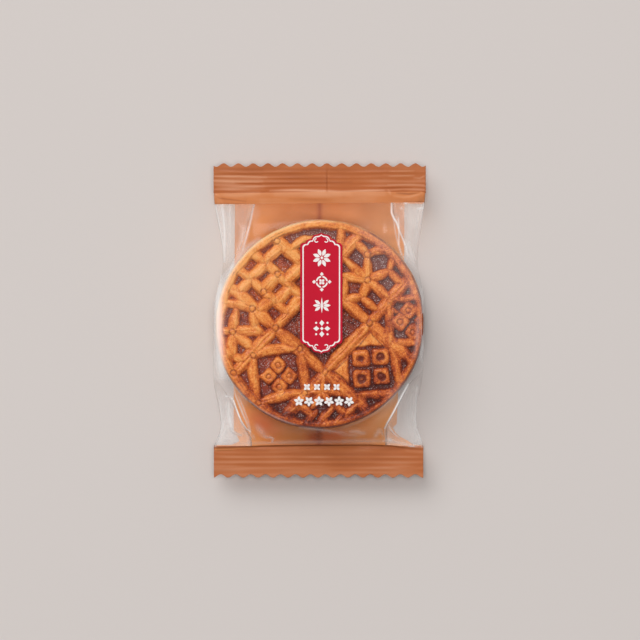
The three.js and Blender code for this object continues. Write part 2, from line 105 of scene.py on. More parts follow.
# Each rib: from u, v to u, v, its width, its bow to the left in mm, and how blunt its ends are. A row
# that leaves out the last ones has those of RIB_DEFAULTS.
RIBS = [
    # Woven field
    (-0.96, 2.56, -0.4, 2.5, 3.8, 0, 0.75), (-0.97, 1.72, -0.4, 1.68, 3.9, 0, 0.75),
    (-0.42, 2.56, 0.23, 2.5, 4.0, 0, 0.75), (-0.42, 2.04, 0.23, 2.0, 4.2, 0, 0.75),
    (-0.42, 1.5, 0.23, 1.46, 4.2, 0, 0.75), (0.26, 2.58, 0.93, 2.52, 4.0, 0, 0.75),
    (0.26, 1.7, 0.95, 1.66, 4.2, 0, 0.75), (-0.43, 1.0, -0.43, 3.0, 3.2, 0, 1.0),
    (0.24, 1.0, 0.24, 3.0, 3.2, 0, 1.0),
    # Petal star
    (1.93, -0.12, 2.47, 0.38, 3.1), (1.93, -0.12, 1.95, 0.9, 3.2), (1.93, -0.12, 1.51, 0.58, 3.0),
    (1.93, -0.12, 1.42, -0.33, 3.2), (1.93, -0.12, 1.94, -0.95, 3.3), (1.93, -0.12, 2.56, -0.42, 3.1),
    (2.53, 0.92, 2.52, 0.42, 2.9, 0, 0.6), (2.52, 0.42, 3.03, -0.06, 2.9, 0.7, 0.55),
    (2.56, -0.4, 2.55, -0.95, 2.8, 0, 0.6), (2.56, -0.42, 3.03, -0.18, 2.6, 0, 0.6),
    (1.48, 0.46, 1.0, -0.03, 2.8, 0, 0.6), (0.99, -0.07, 1.43, -0.32, 2.9, 0.5, 0.6),
    (1.42, -0.31, 1.45, -0.95, 3.0, 0, 0.6),
    # Beside the large blocks
    (0.86, -2.03, 0.14, -3.03, 3.2, 0.5), (-0.85, -2.17, 0.07, -3.01, 3.1, -0.5),
    # Bowed frame round the left-hand blocks
    (-0.98, 0.02, -2.08, 0.95, 3.6, -0.9), (-2.08, 0.95, -3.02, -0.13, 3.6, -0.5),
    (-3.02, -0.13, -1.87, -0.98, 3.6, 0.6), (-1.87, -0.98, -0.98, 0.02, 3.6, -0.3),
    # Beside the right-hand blocks
    (1.88, -0.97, 0.97, -1.95, 3.1), (1.9, -1.0, 2.56, -1.57, 2.7), (1.07, -1.93, 1.52, -2.54, 2.7),
    # Left-hand arches
    (-1.08, 1.86, -1.45, 2.61, 3.4, -0.6, 0.6), (-1.97, 1.87, -1.44, 2.22, 3.5, 0, 0.65),
    (-1.09, 1.85, -1.42, 1.42, 3.3, 0, 0.65), (-1.97, 1.87, -1.38, 1.15, 3.6, 0.8, 0.6),
    (-1.97, 1.87, -1.92, 1.0, 3.5, 0, 0.6), (-1.97, 1.87, -2.5, 1.38, 3.4, 0, 0.6),
    (-2.5, 1.42, -2.38, 1.0, 3.0, 0, 0.6), (-1.97, 1.87, -2.15, 2.15, 2.8, 0, 0.6),
    (-2.48, 1.4, -2.58, 1.72, 2.8, 0, 0.6), (-1.4, 1.17, -1.36, 1.61, 3.0, 0, 0.6),
    # Upper arches
    (2.56, 1.54, 2.06, 1.06, 3.2, 0, 0.55), (1.05, 2.2, 1.74, 1.99, 2.8, 0.9, 0.55),
    (1.73, 1.98, 2.08, 1.4, 2.8, 0.5, 0.55), (0.97, 1.78, 1.3, 1.42, 2.8, 0.5, 0.6),
    (2.14, 1.1, 1.41, 1.29, 2.8, 0, 0.55), (1.0, 1.1, 1.36, 1.36, 2.8, 0, 0.6),
    # Lower field
    (-2.88, -0.95, -2.2, -1.06, 3.2), (-2.24, -1.05, -2.21, -1.63, 2.9),
    (-2.62, -1.58, -2.03, -1.59, 2.5), (-2.35, -1.9, -1.64, -1.87, 3.2),
    (-2.12, -2.27, -1.55, -2.27, 2.5), (-1.52, -1.9, -1.54, -2.45, 2.8),
    (-1.58, -2.34, -1.02, -2.39, 2.9), (-1.05, -1.0, -1.5, -1.34, 2.9),
    (-1.9, -1.02, -1.49, -1.32, 2.8, 0.5), (-1.49, -1.32, -1.21, -1.85, 2.8, 0.5),
    (-1.5, -1.33, -1.64, -1.87, 2.9), (-1.5, -1.33, -2.05, -1.42, 2.9),
    # Middle cross
    (0, 0, 0.66, 0, 3.2), (0, 0, 0, 0.66, 3.2), (0, 0, -0.66, 0, 3.2), (0, 0, 0, -0.66, 3.2),
]
RIB_DEFAULTS = (0, 0.5)
# Double bars of the lattice run from knot to knot
KNOTS = [-2.95, -1, 1, 2.95]
BAR = (4.35, 0, 0.6)
BAR_GROOVE = 0.11
STUDS = [
    (1, 1), (1, -1), (-1, 1), (-1, -1), (-1.03, 1.9), (-0.43, 1.98), (0.24, 2.02), (0.97, 2.72),
    (-2.86, 1.01), (1.93, -0.12), (2.52, 0.42), (-1.97, 1.87), (0, 0), (-0.98, 0.02), (-2.08, 0.95),
    (-3.02, -0.13), (-1.87, -0.98),
]
# Each block: its middle u, v, its side in mm, its turn in degrees and how high its knob stands
BLOCKS = [
    (0.03, -1.53, 5.9, 45, 0), (0.46, -1.93, 5.9, 43, 0.2), (-0.40, -1.97, 5.9, 46, 0.3),
    (0.05, -2.36, 5.8, 44, 0.3), (-1.775, 0.185, 4.8, 0, 0.26), (-2.225, 0.185, 4.8, 0, 0.26),
    (-1.795, -0.285, 4.8, 0, 0.26), (-2.235, -0.275, 4.8, 0, 0.26), (2.07, -1.64, 5.1, 0, 0.26),
    (1.64, -1.69, 5.0, 0, 0.26), (1.67, -2.18, 4.9, 0, 0.26), (2.11, -2.14, 4.7, 0, 0.26),
]
# Each plate: its corner u, v and its leg along each lattice direction
PLATES = [
    (0.84, -1.14, -0.74, -0.74), (-0.82, -1.16, 0.74, -0.74), (1.86, -1.2, -0.42, -0.38),
    (1.2, -1.9, -0.34, 0.38),
]


def plan(pixel):
    """Millimetres in the frame of a place in the photograph."""
    return ((pixel[0] - PIXEL_ORIGIN[0]) * PIXEL, (PIXEL_ORIGIN[1] - pixel[1]) * PIXEL)


def soft_noise(x, y, size, seed):
    """Smooth random field from -1 to 1 whose bumps are about size apart."""
    cells = 64
    table = np.random.default_rng(seed).uniform(-1, 1, (cells, cells))
    across, up = x / size, y / size
    column, row = np.floor(across).astype(int), np.floor(up).astype(int)
    a, b = across - column, up - row
    a, b = a * a * (3 - 2 * a), b * b * (3 - 2 * b)

    def corner(i, j):
        return table[(column + i) % cells, (row + j) % cells]

    low = corner(0, 0) * (1 - a) + corner(1, 0) * a
    high = corner(0, 1) * (1 - a) + corner(1, 1) * a
    return low * (1 - b) + high * b


def bell(off, width, power=2):
    """1 at no distance off, and falling away over the width."""
    return np.exp(-(off / width) ** power)


def from_cake(x, y):
    """Distance from the cake's middle, and the direction in degrees."""
    return np.hypot(x - CAKE_X, y - CAKE_Y), np.degrees(np.arctan2(y - CAKE_Y, x - CAKE_X))


def pairs(loop):
    """Each member of a closed loop with the one after it."""
    return zip(loop, loop[1:] + loop[:1])


def smooth_step(x, low, high):
    """0 at low and 1 at high, with a smooth change between them and none beyond."""
    t = np.clip((x - low) / (high - low), 0, 1)
    return t * t * (3 - 2 * t)


def placed(name, data):
    thing = bpy.data.objects.new(name, data)
    bpy.context.scene.collection.objects.link(thing)
    return thing


def make_mesh(name, points, faces, material, values=None, smooth=True):
    """Mesh object from millimetre points, with a number for each point under every name in values."""
    mesh = bpy.data.meshes.new(name)
    mesh.from_pydata((np.asarray(points) * MM).tolist(), [], faces)
    for label, numbers in (values or {}).items():
        attribute = mesh.attributes.new(label, "FLOAT", "POINT")
        attribute.data.foreach_set("value", np.asarray(numbers, np.float32))
    mesh.polygons.foreach_set("use_smooth", [smooth] * len(mesh.polygons))
    mesh.materials.append(material)
    mesh.update()
    return placed(name, mesh)


# Materials


def node(tree, kind, inputs=None, **settings):
    made = tree.nodes.new("ShaderNode" + kind)
    for key, value in settings.items():
        setattr(made, key, value)
    for key, value in (inputs or {}).items():
        if isinstance(value, bpy.types.NodeSocket):
            tree.links.new(value, made.inputs[key])
        else:
            made.inputs[key].default_value = value
    return made


def number(tree, label):
    """Number that each point of the mesh carries under a name."""
    return node(tree, "Attribute", attribute_name=label).outputs["Fac"]


def maths(tree, operation, first, second):
    return node(tree, "Math", {0: first, 1: second}, operation=operation).outputs[0]


def times(tree, first, second):
    return maths(tree, "MULTIPLY", first, second)


def centred(tree, value, amount):
    """A value around one half, drawn out to run from minus to plus half the amount."""
    return times(tree, maths(tree, "SUBTRACT", value, 0.5), amount)


def ranged(tree, value, low, high, to_low=0.0, to_high=1.0):
    inputs = {0: value, 1: low, 2: high, 3: to_low, 4: to_high}
    return node(tree, "MapRange", inputs, interpolation_type="SMOOTHSTEP").outputs[0]


def mixed(tree, factor, first, second):
    return node(tree, "Mix", {0: factor, 6: first, 7: second}, data_type="RGBA").outputs[2]


def ramp(tree, value, stops):
    """Colour of a value from stops of a place and a linear colour."""
    made = node(tree, "ValToRGB", {0: value})
    elements = made.color_ramp.elements
    while len(elements) < len(stops):
        elements.new(1.0)
    for element, (place, colour) in zip(elements, stops):
        element.position = place
        element.color = (*colour, 1)
    return made.outputs[0]


def noise(tree, size, detail=3.0, roughness=0.55, distortion=0.0):
    """Noise whose features are about size millimetres across."""
    place = node(tree, "TexCoord").outputs["Object"]
    inputs = {
        "Vector": place, "Scale": 1 / (size * MM), "Detail": detail, "Roughness": roughness,
        "Distortion": distortion,
    }
    return node(tree, "TexNoise", inputs).outputs["Fac"]


def bumped(tree, height, distance, strength, normal=None):
    inputs = {"Height": height, "Distance": distance * MM, "Strength": strength}
    if normal is not None:
        inputs["Normal"] = normal
    return node(tree, "Bump", inputs).outputs[0]


def surfaced(name, make):
    """Material whose surface is the shader that make() builds in its tree."""
    material = bpy.data.materials.new(name)
    material.use_nodes = True
    tree = material.node_tree
    tree.nodes.clear()
    output = node(tree, "OutputMaterial")
    tree.links.new(make(tree).outputs[0], output.inputs[0])
    return material


CRUST_STOPS = [
    (0.0, (0.080, 0.010, 0.006)), (0.15, (0.150, 0.020, 0.008)), (0.35, (0.380, 0.058, 0.011)),
    (0.52, (0.570, 0.129, 0.023)), (0.70, (0.740, 0.216, 0.042)), (0.85, (0.830, 0.294, 0.064)),
    (1.0, (0.880, 0.380, 0.108)),
]
SCORCHED = (0.120, 0.013, 0.006, 1)
HOLLOW = (0.280, 0.043, 0.022, 1)
DEEP_HOLLOW = (0.095, 0.020, 0.015, 1)
DUSTY_HOLLOW = (0.150, 0.062, 0.055, 1)
# Colour of the pale spots in the hollows: blistered crust and painted glints
SPECKLE_AND_GLINT = (0.760, 0.660, 0.640, 1)
SIDE_STOPS = [
    (0.0, (0.840, 0.560, 0.270)), (0.16, (0.740, 0.415, 0.155)), (0.34, (0.680, 0.290, 0.085)),
    (0.60, (0.480, 0.140, 0.036)), (0.85, (0.170, 0.030, 0.010)),
]


def crust_tone(tree, relief, wide, bake_and_shade):
    """How golden the crust is: crowns over flanks over hollows, painted shade beside ribs, paler where baked
    less and where light is painted, and uneven.
    """
    shares = (
        times(tree, relief, 0.34), times(tree, wide, 0.30), times(tree, bake_and_shade, -0.46),
        centred(tree, noise(tree, 3.4, 3, 0.6), 0.90),
        centred(tree, noise(tree, 1.3, 3, 0.6, 1.2), 0.75),
        centred(tree, noise(tree, 0.36, 3, 0.6), 0.90),
    )
    tone = maths(tree, "ADD", times(tree, number(tree, "grain"), 0.10), 0.32)
    for share in shares:
        tone = maths(tree, "ADD", tone, share)
    return tone


def round_spots(tree, size, small, large):
    """Round spots of uneven strength, one to a cell of the given size in millimetres."""
    place = node(tree, "TexCoord").outputs["Object"]
    cells = node(tree, "TexVoronoi", {"Vector": place, "Scale": 1 / (size * MM), "Randomness": 1.0})
    strength = node(tree, "SeparateXYZ", {0: cells.outputs["Color"]}).outputs["X"]
    spots = ranged(tree, cells.outputs["Distance"], small, large, 1.0, 0.0)
    return times(tree, spots, ranged(tree, strength, 0.25, 0.95))


def blisters_and_glints(tree, relief, dust):
    """Fine pale spots of two sizes in the hollows, partly blistered crust and partly painted glints, crowded
    in patches and where it is dusty.
    """
    large, small = round_spots(tree, 0.66, 0.10, 0.36), round_spots(tree, 0.40, 0.18, 0.48)
    patchy = ranged(tree, noise(tree, 2.2, 2), 0.36, 0.58, 0.18, 1.0)
    patchy = maths(tree, "MAXIMUM", patchy, times(tree, dust, 0.85))
    low = ranged(tree, relief, 0.10, 0.50, 1.0, 0.06)
    return times(tree, times(tree, maths(tree, "MAXIMUM", large, small), patchy), low)


def face_colour(tree, relief, bake_and_shade, dust):
    """The moulded face without its pale spots: its tone, its dark hollows and its scorched lines."""
    wide, browning = number(tree, "wide"), number(tree, "browning")
    baked = ramp(tree, crust_tone(tree, relief, wide, bake_and_shade), CRUST_STOPS)
    depth = ranged(tree, relief, 0.02, 0.46, 0.88, 0.0)
    hollow = times(tree, depth, ranged(tree, noise(tree, 3.0, 2), 0.36, 0.52))
    hollow = times(tree, hollow, ranged(tree, bake_and_shade, 0.0, 0.7, 0.35, 1.0))
    dark = mixed(tree, ranged(tree, bake_and_shade, 0.30, 1.05), HOLLOW, DEEP_HOLLOW)
    dark = mixed(tree, times(tree, dust, 0.8), dark, DUSTY_HOLLOW)
    sunk = mixed(tree, maths(tree, "MAXIMUM", hollow, times(tree, depth, dust)), baked, dark)
    stains = centred(tree, noise(tree, 1.0, 3, 0.6, 0.8), 1.6)
    burnt = maths(tree, "ADD", browning, times(tree, stains, maths(tree, "ADD", browning, 0.30)))
    return mixed(tree, ranged(tree, burnt, 0.05, 1.0, 0.0, 0.9), sunk, SCORCHED)


def side_colour(tree, bake_and_shade):
    """The plain side and base: pale to dark brown with the baking and with painted light and shade, and
    mottled.
    """
    broad, fine = centred(tree, noise(tree, 2.6, 4), 0.6), centred(tree, noise(tree, 0.7, 3), 0.35)
    return ramp(tree, maths(tree, "ADD", bake_and_shade, maths(tree, "ADD", broad, fine)), SIDE_STOPS)


def crust_shader(tree):
    """Baked crust: golden crowns, red-brown flanks, dark hollows with fine pale spots of blistering and
    painted glints.
    """
    relief, grain, bake_and_shade, face, dust = (
        number(tree, label) for label in ("relief", "grain", "bake_and_shade", "face", "dust")
    )
    toned = mixed(tree, face, side_colour(tree, bake_and_shade), face_colour(tree, relief, bake_and_shade, dust))
    pale = blisters_and_glints(tree, relief, dust)
    surface = None
    for height, distance, strength in (
        (noise(tree, 1.4, 2, 0.5), 0.20, 0.8),
        (noise(tree, 0.45, 3, 0.6), 0.10, 0.8),
        (grain, 0.12, 0.6),
        (pale, 0.14, 0.8),
    ):
        surface = bumped(tree, height, distance, strength, surface)
    return node(tree, "BsdfPrincipled", {
        "Base Color": mixed(tree, times(tree, pale, 0.80), toned, SPECKLE_AND_GLINT),
        "Roughness": 0.50,
        "Normal": surface,
        "Specular IOR Level": 0.10,
        "Coat Weight": 0.45,
        "Coat Roughness": 0.15,
        "Coat Normal": surface,
    })


FILM_CLEAR = (0.996, 0.996, 0.996, 1)
FILM_WHITE = (0.96, 0.94, 0.93, 1)
FILM_MIRROR = 0.030
FILM_GRAZING = 0.12
SHADOW_CLEAR = (0.985, 0.985, 0.985, 1)
SHADOW_PRINT = (0.80, 0.60, 0.42, 1)


def lit_through(tree, shader, tint):
    """The shader for every ray but those to the lamps, which pass and take on a tint."""
    shadow = node(tree, "LightPath").outputs["Is Shadow Ray"]
    through = node(tree, "BsdfTransparent", {"Color": tint})
    return node(tree, "MixShader", {0: shadow, 1: shader.outputs[0], 2: through.outputs[0]})


def film_shader(tree):
    """Clear film: see-through with faint whiteness, whiter with painted glints along creases, and glossy all
    over.
    """
    clear = node(tree, "BsdfTransparent", {"Color": FILM_CLEAR})
    white = node(tree, "BsdfDiffuse", {"Color": FILM_WHITE})
    body = node(tree, "MixShader", {0: number(tree, "veil"), 1: clear.outputs[0], 2: white.outputs[0]})
    ripple = bumped(tree, noise(tree, 3.0, 3), 0.06, 0.4)
    gloss = node(tree, "BsdfGlossy", {"Roughness": 0.20, "Normal": ripple})
    facing = node(tree, "LayerWeight", {"Blend": 0.5, "Normal": ripple}).outputs["Facing"]
    grazing = times(tree, maths(tree, "POWER", facing, 5.0), FILM_GRAZING)
    edge = maths(tree, "ADD", grazing, FILM_MIRROR)
    shader = node(tree, "MixShader", {0: edge, 1: body.outputs[0], 2: gloss.outputs[0]})
    return lit_through(tree, shader, SHADOW_CLEAR)


# Colours of the print's painted highlights (shine), painted shade and dark seam (deep), and redder stretches
# (blush)
PRINT_SHINE = (0.80, 0.45, 0.28, 1)
PRINT_DEEP = (0.16, 0.030, 0.008, 1)
PRINT_BLUSH = (0.800, 0.165, 0.050, 1)


def print_material(name, colour, darker, see_through=True):
    """Flat print on film: a warm brown with painted-in highlights and painted shade of creases, and a fine
    uneven gloss.
    """

    def shader(tree):
        tone = mixed(tree, noise(tree, 9.0, 3), (*colour, 1), (*darker, 1))
        for label, tint in (("blush", PRINT_BLUSH), ("shade", PRINT_DEEP), ("gleam", PRINT_SHINE)):
            tone = mixed(tree, number(tree, label), tone, tint)
        surface = bumped(tree, noise(tree, 1.3, 3), 0.05, 0.5)
        inputs = {"Base Color": tone, "Roughness": 0.42, "Normal": surface, "Specular IOR Level": 0.4}
        made = node(tree, "BsdfPrincipled", inputs)
        return lit_through(tree, made, SHADOW_PRINT) if see_through else made

    return surfaced(name, shader)


def ink_material(name, colour):
    """Nearly even ink of the label and its print."""

    def shader(tree):
        tone = mixed(tree, noise(tree, 4.0, 2), (*colour, 1), (*(0.9 * c for c in colour), 1))
        surface = bumped(tree, noise(tree, 1.6, 2), 0.03, 0.4)
        inputs = {"Base Color": tone, "Roughness": 0.40, "Normal": surface, "Specular IOR Level": 0.2}
        return node(tree, "BsdfPrincipled", inputs)

    return surfaced(name, shader)


# Cake


def to_frame(u, v):
    """Millimetres in the frame of a place counted in lattice units."""
    c, s = math.cos(LATTICE_TURN), math.sin(LATTICE_TURN)
    return ORNAMENT_X + LATTICE * (u * c - v * s), ORNAMENT_Y + LATTICE * (u * s + v * c)


def dome(share, flat=2.5, fall=0.9):
    """Height of a rounded rib from 1 on its crown to 0 at its foot, for a share of its half-width."""
    return (1 - np.clip(share, 0, 1) ** flat) ** fall


# How much lower a rib is at its ends, how much fuller all are than listed, the groove's half-width along
# a bar's crown, and how much the streaks along a rib lift it
END_DROP = 0.14
FULLER = 1.25
GROOVE_WIDTH = 0.24
STREAK_HEIGHT = 0.035


def rib(x, y, item, groove, seed):
    """Leaf-shaped rib that may bow to the left: share of its half-width, height and streaks along it."""
    start, end = to_frame(*item[0:2]), to_frame(*item[2:4])
    width, bow, blunt = item[4:7]
    run = np.subtract(end, start)
    length = math.hypot(*run)
    dx, dy = x - start[0], y - start[1]
    along = (dx * run[0] + dy * run[1]) / length
    across = (dy * run[0] - dx * run[1]) / length
    t = np.clip(along / length, 0, 1)
    swell = np.sin(np.pi * t)
    half = FULLER * width / 2 * (blunt + (1 - blunt) * swell ** 0.7)
    off = across - 4 * bow * t * (1 - t)
    share = np.hypot(off, along - t * length) / half
    height = dome(share) * (1 - END_DROP + END_DROP * swell ** 0.6)
    streak = soft_noise(off, along * 0.14 + 3.1 * seed, 0.42, 70 + seed % 7)
    inner = groove * bell(off, GROOVE_WIDTH) * smooth_step(swell, 0.1, 0.5)
    return share, np.maximum(height * (1 + STREAK_HEIGHT * streak) - inner, 0), streak


SMALL_BLOCK = 5.5
PIT_WIDTH = 0.21
# Depth of the pit, radius of the knob, and the scorched ring's radius, width and strength
LARGE_LOOKS = (0.40, 0.09, 0.13, 0.11, 1.45)
SMALL_LOOKS = (0.30, 0.12, 0.17, 0.055, 0.62)
RING_WITHOUT_KNOB = 0.05


def block(x, y, item):
    """Pillow-shaped block with a scorched pit round a small knob: height and browning."""
    cx, cy = to_frame(*item[0:2])
    side, turn, knob_height = item[2], LATTICE_TURN + math.radians(item[3]), item[4]
    depth, knob, ring, ring_width, burnt = SMALL_LOOKS if side < SMALL_BLOCK else LARGE_LOOKS
    dx, dy = x - cx, y - cy
    a = dx * math.cos(turn) + dy * math.sin(turn)
    b = -dx * math.sin(turn) + dy * math.cos(turn)
    half = side / 2
    off = ((np.abs(a) / half) ** 5 + (np.abs(b) / half) ** 5) ** (1 / 5)
    r = np.hypot(dx, dy) / side
    pit, rise = depth * bell(r, PIT_WIDTH, 4), knob_height * bell(r, knob, 4)
    height = np.maximum(0.94 * dome(off, 8.0, 0.8) - pit + rise, 0) * (off < 1)
    uneven = 1 + 0.40 * soft_noise(x, y, 1.1, 91)
    ring = burnt * bell(r - (ring if knob_height else RING_WITHOUT_KNOB), ring_width * uneven)
    edge = 0.9 * smooth_step(off, 0.88, 1.0)
    return height, np.maximum(ring, edge) * (off < 1)


def plate(x, y, item):
    """Low three-cornered plate with one leg along each lattice direction."""
    u0, v0, leg_u, leg_v = item
    c, s = math.cos(LATTICE_TURN), math.sin(LATTICE_TURN)
    dx, dy = x - ORNAMENT_X, y - ORNAMENT_Y
    u = ((dx * c + dy * s) / LATTICE - u0) / leg_u
    v = ((-dx * s + dy * c) / LATTICE - v0) / leg_v
    inside = np.minimum(np.minimum(u, v), (1 - u - v) * 0.7) * abs(leg_u) * LATTICE
    return 0.80 * smooth_step(inside, -0.3, 0.8)


def all_ribs():
    """Every rib of the face with the depth of the groove along its crown."""
    bars = []
    for fixed in (-1, 1):
        for a, b in zip(KNOTS[:-1], KNOTS[1:]):
            bars += [(fixed, a, fixed, b, *BAR), (a, fixed, b, fixed, *BAR)]
    plain = [(row + RIB_DEFAULTS[len(row) - 5:], 0.0) for row in RIBS]
    return plain + [(bar, BAR_GROOVE) for bar in bars]


# Crease where two ribs meet, and the scorching there and on the flanks, where the dark line at each rib's
# foot is partly painted shade
CREASE_WIDTH = 0.22
CREASE_DEPTH = 0.11
CREASE_SCORCH = 0.35
FLANK_SCORCH_AND_SHADE = 0.62


def wandering(x, y, place, seed):
    """A coordinate of each place, moved a little so that no rib is quite straight."""
    return place + 0.25 * soft_noise(x, y, 4.0, seed) + 0.13 * soft_noise(x, y, 1.5, seed + 2)


def ornament(x, y):
    """Height share of the moulded face, how scorched it is and the streaks on it, at mm places."""
    wx, wy = wandering(x, y, x, 11), wandering(x, y, y, 12)
    height, grain = np.zeros_like(x), np.zeros_like(x)
    nearest, second = np.full(x.shape, 9.0), np.full(x.shape, 9.0)
    for index, (item, groove) in enumerate(all_ribs()):
        share, rise, streak = rib(wx, wy, item, groove, index)
        grain = np.where((rise > height) & (rise > 0.15), streak, grain)
        height = np.maximum(height, rise)
        second = np.minimum(second, np.maximum(nearest, share))
        nearest = np.minimum(nearest, share)
    crease = bell(second - nearest, CREASE_WIDTH) * (1 - smooth_step(nearest, 0.5, 0.95))
    height = np.maximum(height - CREASE_DEPTH * crease, 0)
    scorch = np.maximum(CREASE_SCORCH * crease, FLANK_SCORCH_AND_SHADE * bell(nearest - 0.93, 0.17))
    for item in PLATES:
        height = np.maximum(height, plate(wx, wy, item))
    for item in BLOCKS:
        rise, burnt = block(wx, wy, item)
        height = np.maximum(height, rise)
        scorch = np.where(rise > 0.02, burnt, scorch)
    r = np.hypot(wx - RECESS_X, wy - RECESS_Y) + 0.3 * soft_noise(x, y, 6.0, 15)
    rim = smooth_step(r, RECESS_RADIUS - RECESS_SLOPE, RECESS_RADIUS + 0.1)
    lines = sum(strength * bell(r - RECESS_RADIUS - out, width) for out, width, strength in RIM_LINES)
    scorch = scorch * (1 - rim) + RIM_SCORCH * (0.6 + 0.6 * soft_noise(x, y, 3.0, 16)) * lines
    height = np.maximum(height, rim)
    for place in STUDS:
        sx, sy = to_frame(*place)
        off = np.hypot(wx - sx, wy - sy)
        ring = bell(off - STUD_RADIUS, STUD_RING)
        height = np.maximum(height, 0.97 * dome(off / STUD_FOOT, 4.0)) - STUD_GROOVE * ring
        scorch = np.where(off < STUD_SCORCHED, STUD_SCORCH * ring, scorch)
    return height, scorch, grain


def cavity_shaded_relief(x, y):
    """Relief blurred over a little more than half a millimetre, so that crown and foot differ softly and the
    hollows beside the ribs get painted shade.
    """
    cell, sigma, half_side = 0.2, 0.6, 35.0
    line = np.arange(-half_side, half_side + cell, cell)
    height = ornament(*np.meshgrid(line, line))[0]
    kernel = np.exp(-0.5 * (np.arange(-9, 10) * cell / sigma) ** 2)
    for axis in (0, 1):
        height = np.apply_along_axis(np.convolve, axis, height, kernel / kernel.sum(), "same")
    column, row = (np.clip((place + half_side) / cell, 0, len(line) - 2.001) for place in (x, y))
    i, j = column.astype(int), row.astype(int)
    a, b = column - i, row - j
    low = height[j, i] * (1 - a) + height[j, i + 1] * a
    high = height[j + 1, i] * (1 - a) + height[j + 1, i + 1] * a
    return low * (1 - b) + high * b


def roundness(angle):
    return SWELL + OUT_OF_ROUND * np.cos(2 * (angle - OUT_OF_ROUND_TURN))


def side_radius(z):
    half = CAKE_HEIGHT / 2
    return CAKE_RADIUS - SIDE_BULGE * ((z - CAKE_BASE - half) / half) ** 2


def shoulder_height(r):
    """Height of the rounded upper edge over a distance from the cake's middle."""
    centre = side_radius(CAKE_TOP - TOP_EDGE) - TOP_EDGE
    over = np.clip(r - centre, 0, TOP_EDGE)
    return CAKE_TOP - TOP_EDGE + np.sqrt(TOP_EDGE ** 2 - over ** 2)


def disc_points(steps):
    """Square grid of unit points drawn out to a disc, row by row."""
    line = np.linspace(-1, 1, steps + 1)
    a, b = (part.ravel() for part in np.meshgrid(line, line))
    return a * np.sqrt(1 - b * b / 2), b * np.sqrt(1 - a * a / 2)


def grid_faces(columns, rows):
    """Quads of a grid of points that is columns + 1 wide."""
    i, j = np.meshgrid(np.arange(columns), np.arange(rows))
    first = (j * (columns + 1) + i).ravel()
    return np.stack([first, first + 1, first + columns + 2, first + columns + 1], 1).tolist()


def grid_edge(columns, rows):
    """Indices round the edge of such a grid, counter-clockwise from its lower left corner."""
    wide = columns + 1
    lower = list(range(columns))
    right = [i * wide + columns for i in range(rows)]
    upper = [rows * wide + i for i in range(columns, 0, -1)]
    left = [i * wide for i in range(rows, 0, -1)]
    return lower + right + upper + left


TOP_RADIUS = 31.9
BASE_RING = 12.0
FACE_STEPS = 274
CROWN_WAVES = 0.10
HOLLOW_WAVES = 0.16
# Dent along the rim at the upper right: its direction, depth and the rings that it takes
DENT_TURN = math.radians(42)
DENT_DEPTH = 0.35
DENTED_RINGS = (2, 3)


def cake_profile():
    """Radius and height of the rings from the shoulder down the side and under the base."""
    high, low = CAKE_TOP - TOP_EDGE, CAKE_BASE + BASE_EDGE
    centre = side_radius(high) - TOP_EDGE
    start = math.asin(min(1, (TOP_RADIUS - centre) / TOP_EDGE))
    shoulder = [start + (math.pi / 2 - start) * i / 6 for i in range(1, 7)]
    rings = [(centre + TOP_EDGE * math.sin(a), high + TOP_EDGE * math.cos(a)) for a in shoulder]
    for i in range(1, 9):
        z = high + (low - high) * i / 8
        rings.append((side_radius(z), z))
    for i in range(1, 6):
        a = math.pi / 2 * i / 5
        rings.append((side_radius(low) - BASE_EDGE * (1 - math.cos(a)), low - BASE_EDGE * math.sin(a)))
    return rings + [(BASE_RING, CAKE_BASE)]


# Stretches of the rim that are browner or paler, partly baking and partly painted shade: direction and spread
# in degrees, amount
RIM_BAKE_AND_SHADE = [
    (60, 28, 0.66), (102, 16, 0.40), (10, 16, 0.20), (-128, 26, 0.32), (-104, 12, 0.40), (-78, 8, 0.25),
    (-35, 15, -0.30),
]


# Baking of the crust, with painted shade darker away from the light at the upper left: the direction in which
# it grows, its mean, and the shares of that slope, of the edge on the slope's side, of patches and of the
# plates, which are paler
BAKE_X, BAKE_Y = 0.55, -0.83
BAKE_MEAN = 0.44
BAKE_AND_SHADE_SLOPE = 0.55
BAKE_EDGE = 0.45
BAKE_PATCHES = 0.20
BAKE_PLATES = 0.45


def bake_and_shade_depth(x, y):
    """How darkly the crust is baked, with painted shade: more towards the lower right and its edge, less on
    the plates.
    """
    reach, turn = from_cake(x, y)
    slope = (BAKE_X * (x - CAKE_X) + BAKE_Y * (y - CAKE_Y)) / CAKE_RADIUS
    edge = smooth_step(reach, 27.0, 33.0) * np.clip(slope, -0.5, 1)
    depth = BAKE_MEAN + BAKE_AND_SHADE_SLOPE * slope + BAKE_EDGE * edge + BAKE_PATCHES * soft_noise(x, y, 8.0, 33)
    rim = smooth_step(reach, 28.5, 31.0)
    for direction, spread, amount in RIM_BAKE_AND_SHADE:
        depth += amount * rim * bell(turn - direction, spread)
    for item in PLATES:
        depth -= BAKE_PLATES * smooth_step(plate(x, y, item), 0.2, 0.8)
    return np.clip(depth, -0.4, 1.3)


def dustiness(x, y):
    """How grey and blistered the hollows are: most along the upper, right-hand and left-hand edges."""
    upper_right = smooth_step(0.75 * x + 0.66 * y, 2, 14)
    outer = smooth_step(from_cake(x, y)[0], 12, 24)
    return np.maximum(upper_right * outer, 0.8 * smooth_step(-x, 20, 27))


# The side below the rim: how much paler than the face, how dark at least below the rim and at it, how
# patchy, how much browner its foot is and how high that is, and how much it ripples
SIDE_LIFT = 0.34
SIDE_LEAST, RIM_LEAST = 0.13, -0.4
SIDE_PATCHES = 0.16
FOOT_BAKE = 0.25
FOOT_HEIGHT = 4.5
SIDE_RIPPLE = 0.10


